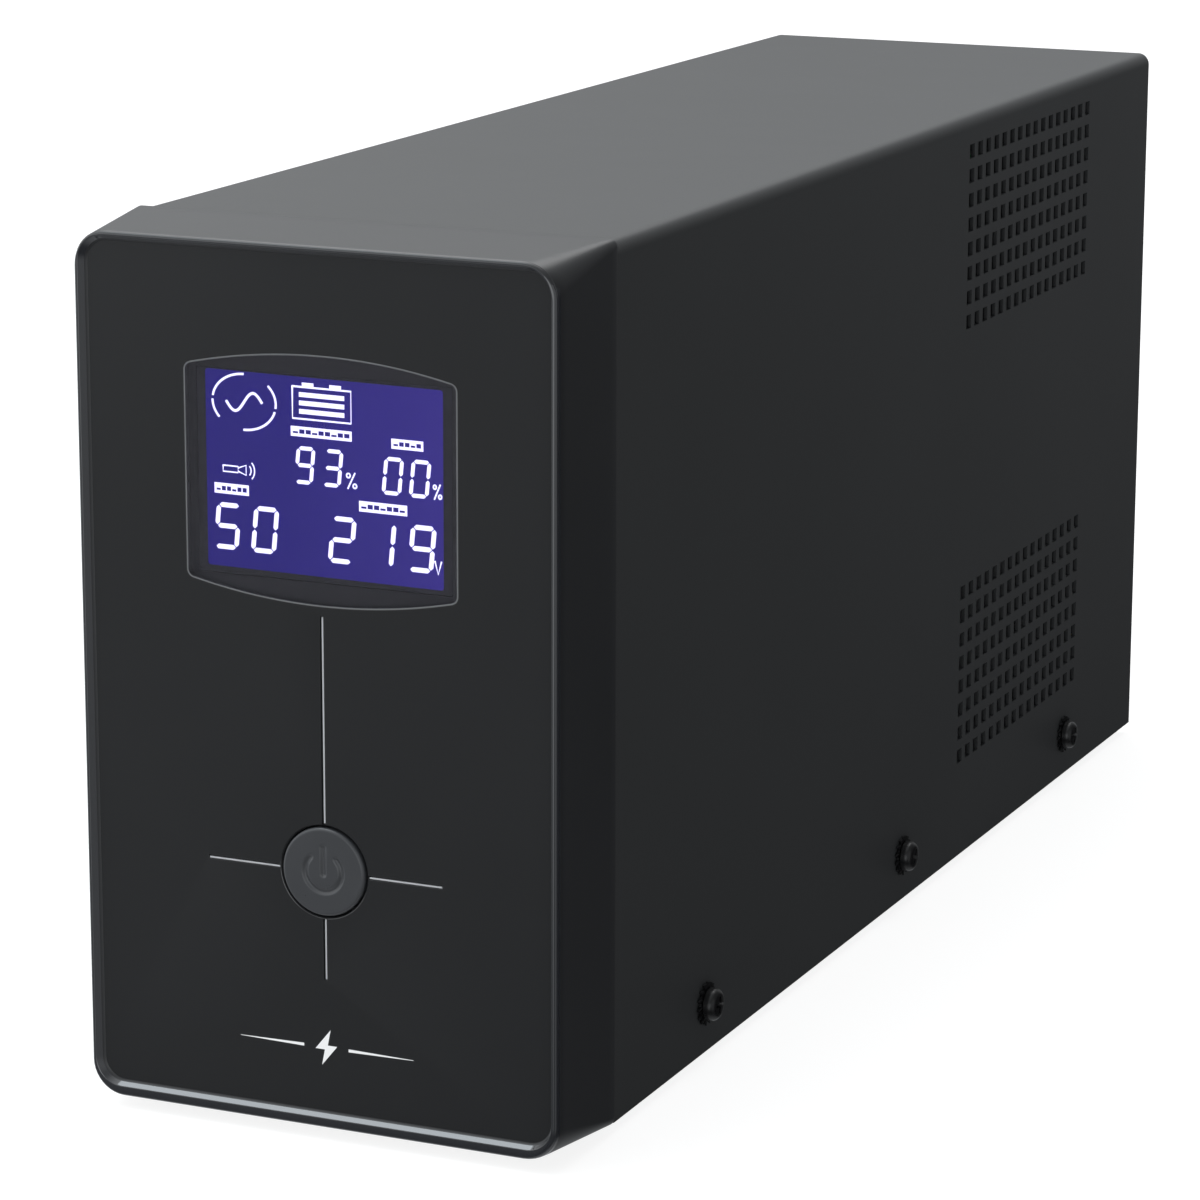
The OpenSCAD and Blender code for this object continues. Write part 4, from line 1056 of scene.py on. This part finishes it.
def toothed_washer(place, turn):
    """A shakeproof washer: a ring whose outer teeth are twisted out of its plane."""
    outer = (washers_hi.z - washers_lo.z) / 2
    root, inner = outer * 0.8, outer * 0.42
    thickness = washers_hi.x - cover_hi.x
    sheet = thickness * 0.5
    low, high = (thickness - sheet) / 2, (thickness + sheet) / 2
    teeth = 14
    # Along one tooth: share of its pitch, radius, and which way it is lifted
    tooth = ((0.0, root, 0.0), (0.15, outer, 1.0), (0.5, outer, -1.0), (0.65, root, 0.0))
    bm = bmesh.new()
    rings = [[], [], [], []]
    for k in range(teeth):
        for part, radius, lift in tooth:
            a = turn + 2 * math.pi * (k + part) / teeth
            c, s = math.cos(a), math.sin(a)
            section = ((radius, low + lift * low), (radius, high + lift * low), (inner, high), (inner, low))
            for ring, (r, h) in zip(rings, section):
                ring.append(bm.verts.new((r * c, r * s, h)))
    count = len(rings[0])
    for a, b in ((0, 1), (1, 2), (2, 3), (3, 0)):
        for i in range(count):
            j = (i + 1) % count
            bm.faces.new((rings[a][i], rings[a][j], rings[b][j], rings[b][i]))
    bmesh.ops.recalc_face_normals(bm, faces=bm.faces)
    bmesh.ops.transform(bm, matrix=place, verts=bm.verts)
    return bm


def build_feet():
    """Round rubber feet with a moulded dish in the sole."""
    r = 6 * MM
    h = feet_hi.z
    dish = 0.35 * MM
    profile = [(0, dish), (r * 0.45, dish), (r * 0.6, 0), (r * 0.86, 0), (r * 0.95, 0.15 * MM),
               (r, 0.7 * MM), (r, h * 0.8), (r * 0.96, h), (0, h)]
    bm = bmesh.new()
    for x in (feet_lo.x + r, feet_hi.x - r):
        for y in (feet_lo.y + r, feet_hi.y - r):
            lathe(bm, profile, (x, y, 0), (0, 0, 1), 40)
    feet = piece_from("rubber_feet", bm, [LOOKS["foot_rubber"]])
    settle(feet, CASE, ["feet"], sharp=35)


# ---------------------------------------------------------------- the emblem


def build_emblem():
    """A generic mark in white print: a bolt between two thin tapered lines."""
    z = 17.5 * MM
    thick = 0.03 * MM
    y = PANEL_Y - 0.02 * MM
    bolt = [(0.9, 3.4), (-2.2, -0.4), (-0.3, -0.4), (-0.9, -3.4), (2.2, 0.4), (0.3, 0.4)]
    bm = bmesh.new()
    plate(bm, [[(BUTTON_X + x * MM, z + v * MM) for x, v in bolt]], y, thick)
    for side in (-1, 1):
        line = [(side * 4.5, -0.28), (side * 17.5, -0.04), (side * 17.5, 0.04), (side * 4.5, 0.28)]
        plate(bm, [[(BUTTON_X + x * MM, z + v * MM) for x, v in line]], y, thick)
    emblem = piece_from("emblem_print", bm, [PRINT])
    settle(emblem, CASE)


build_bezel()
build_panel()
build_painted_line_highlights()
build_surround()
build_lens()
build_display()
build_button()
build_side_screws()
build_feet()
build_emblem()
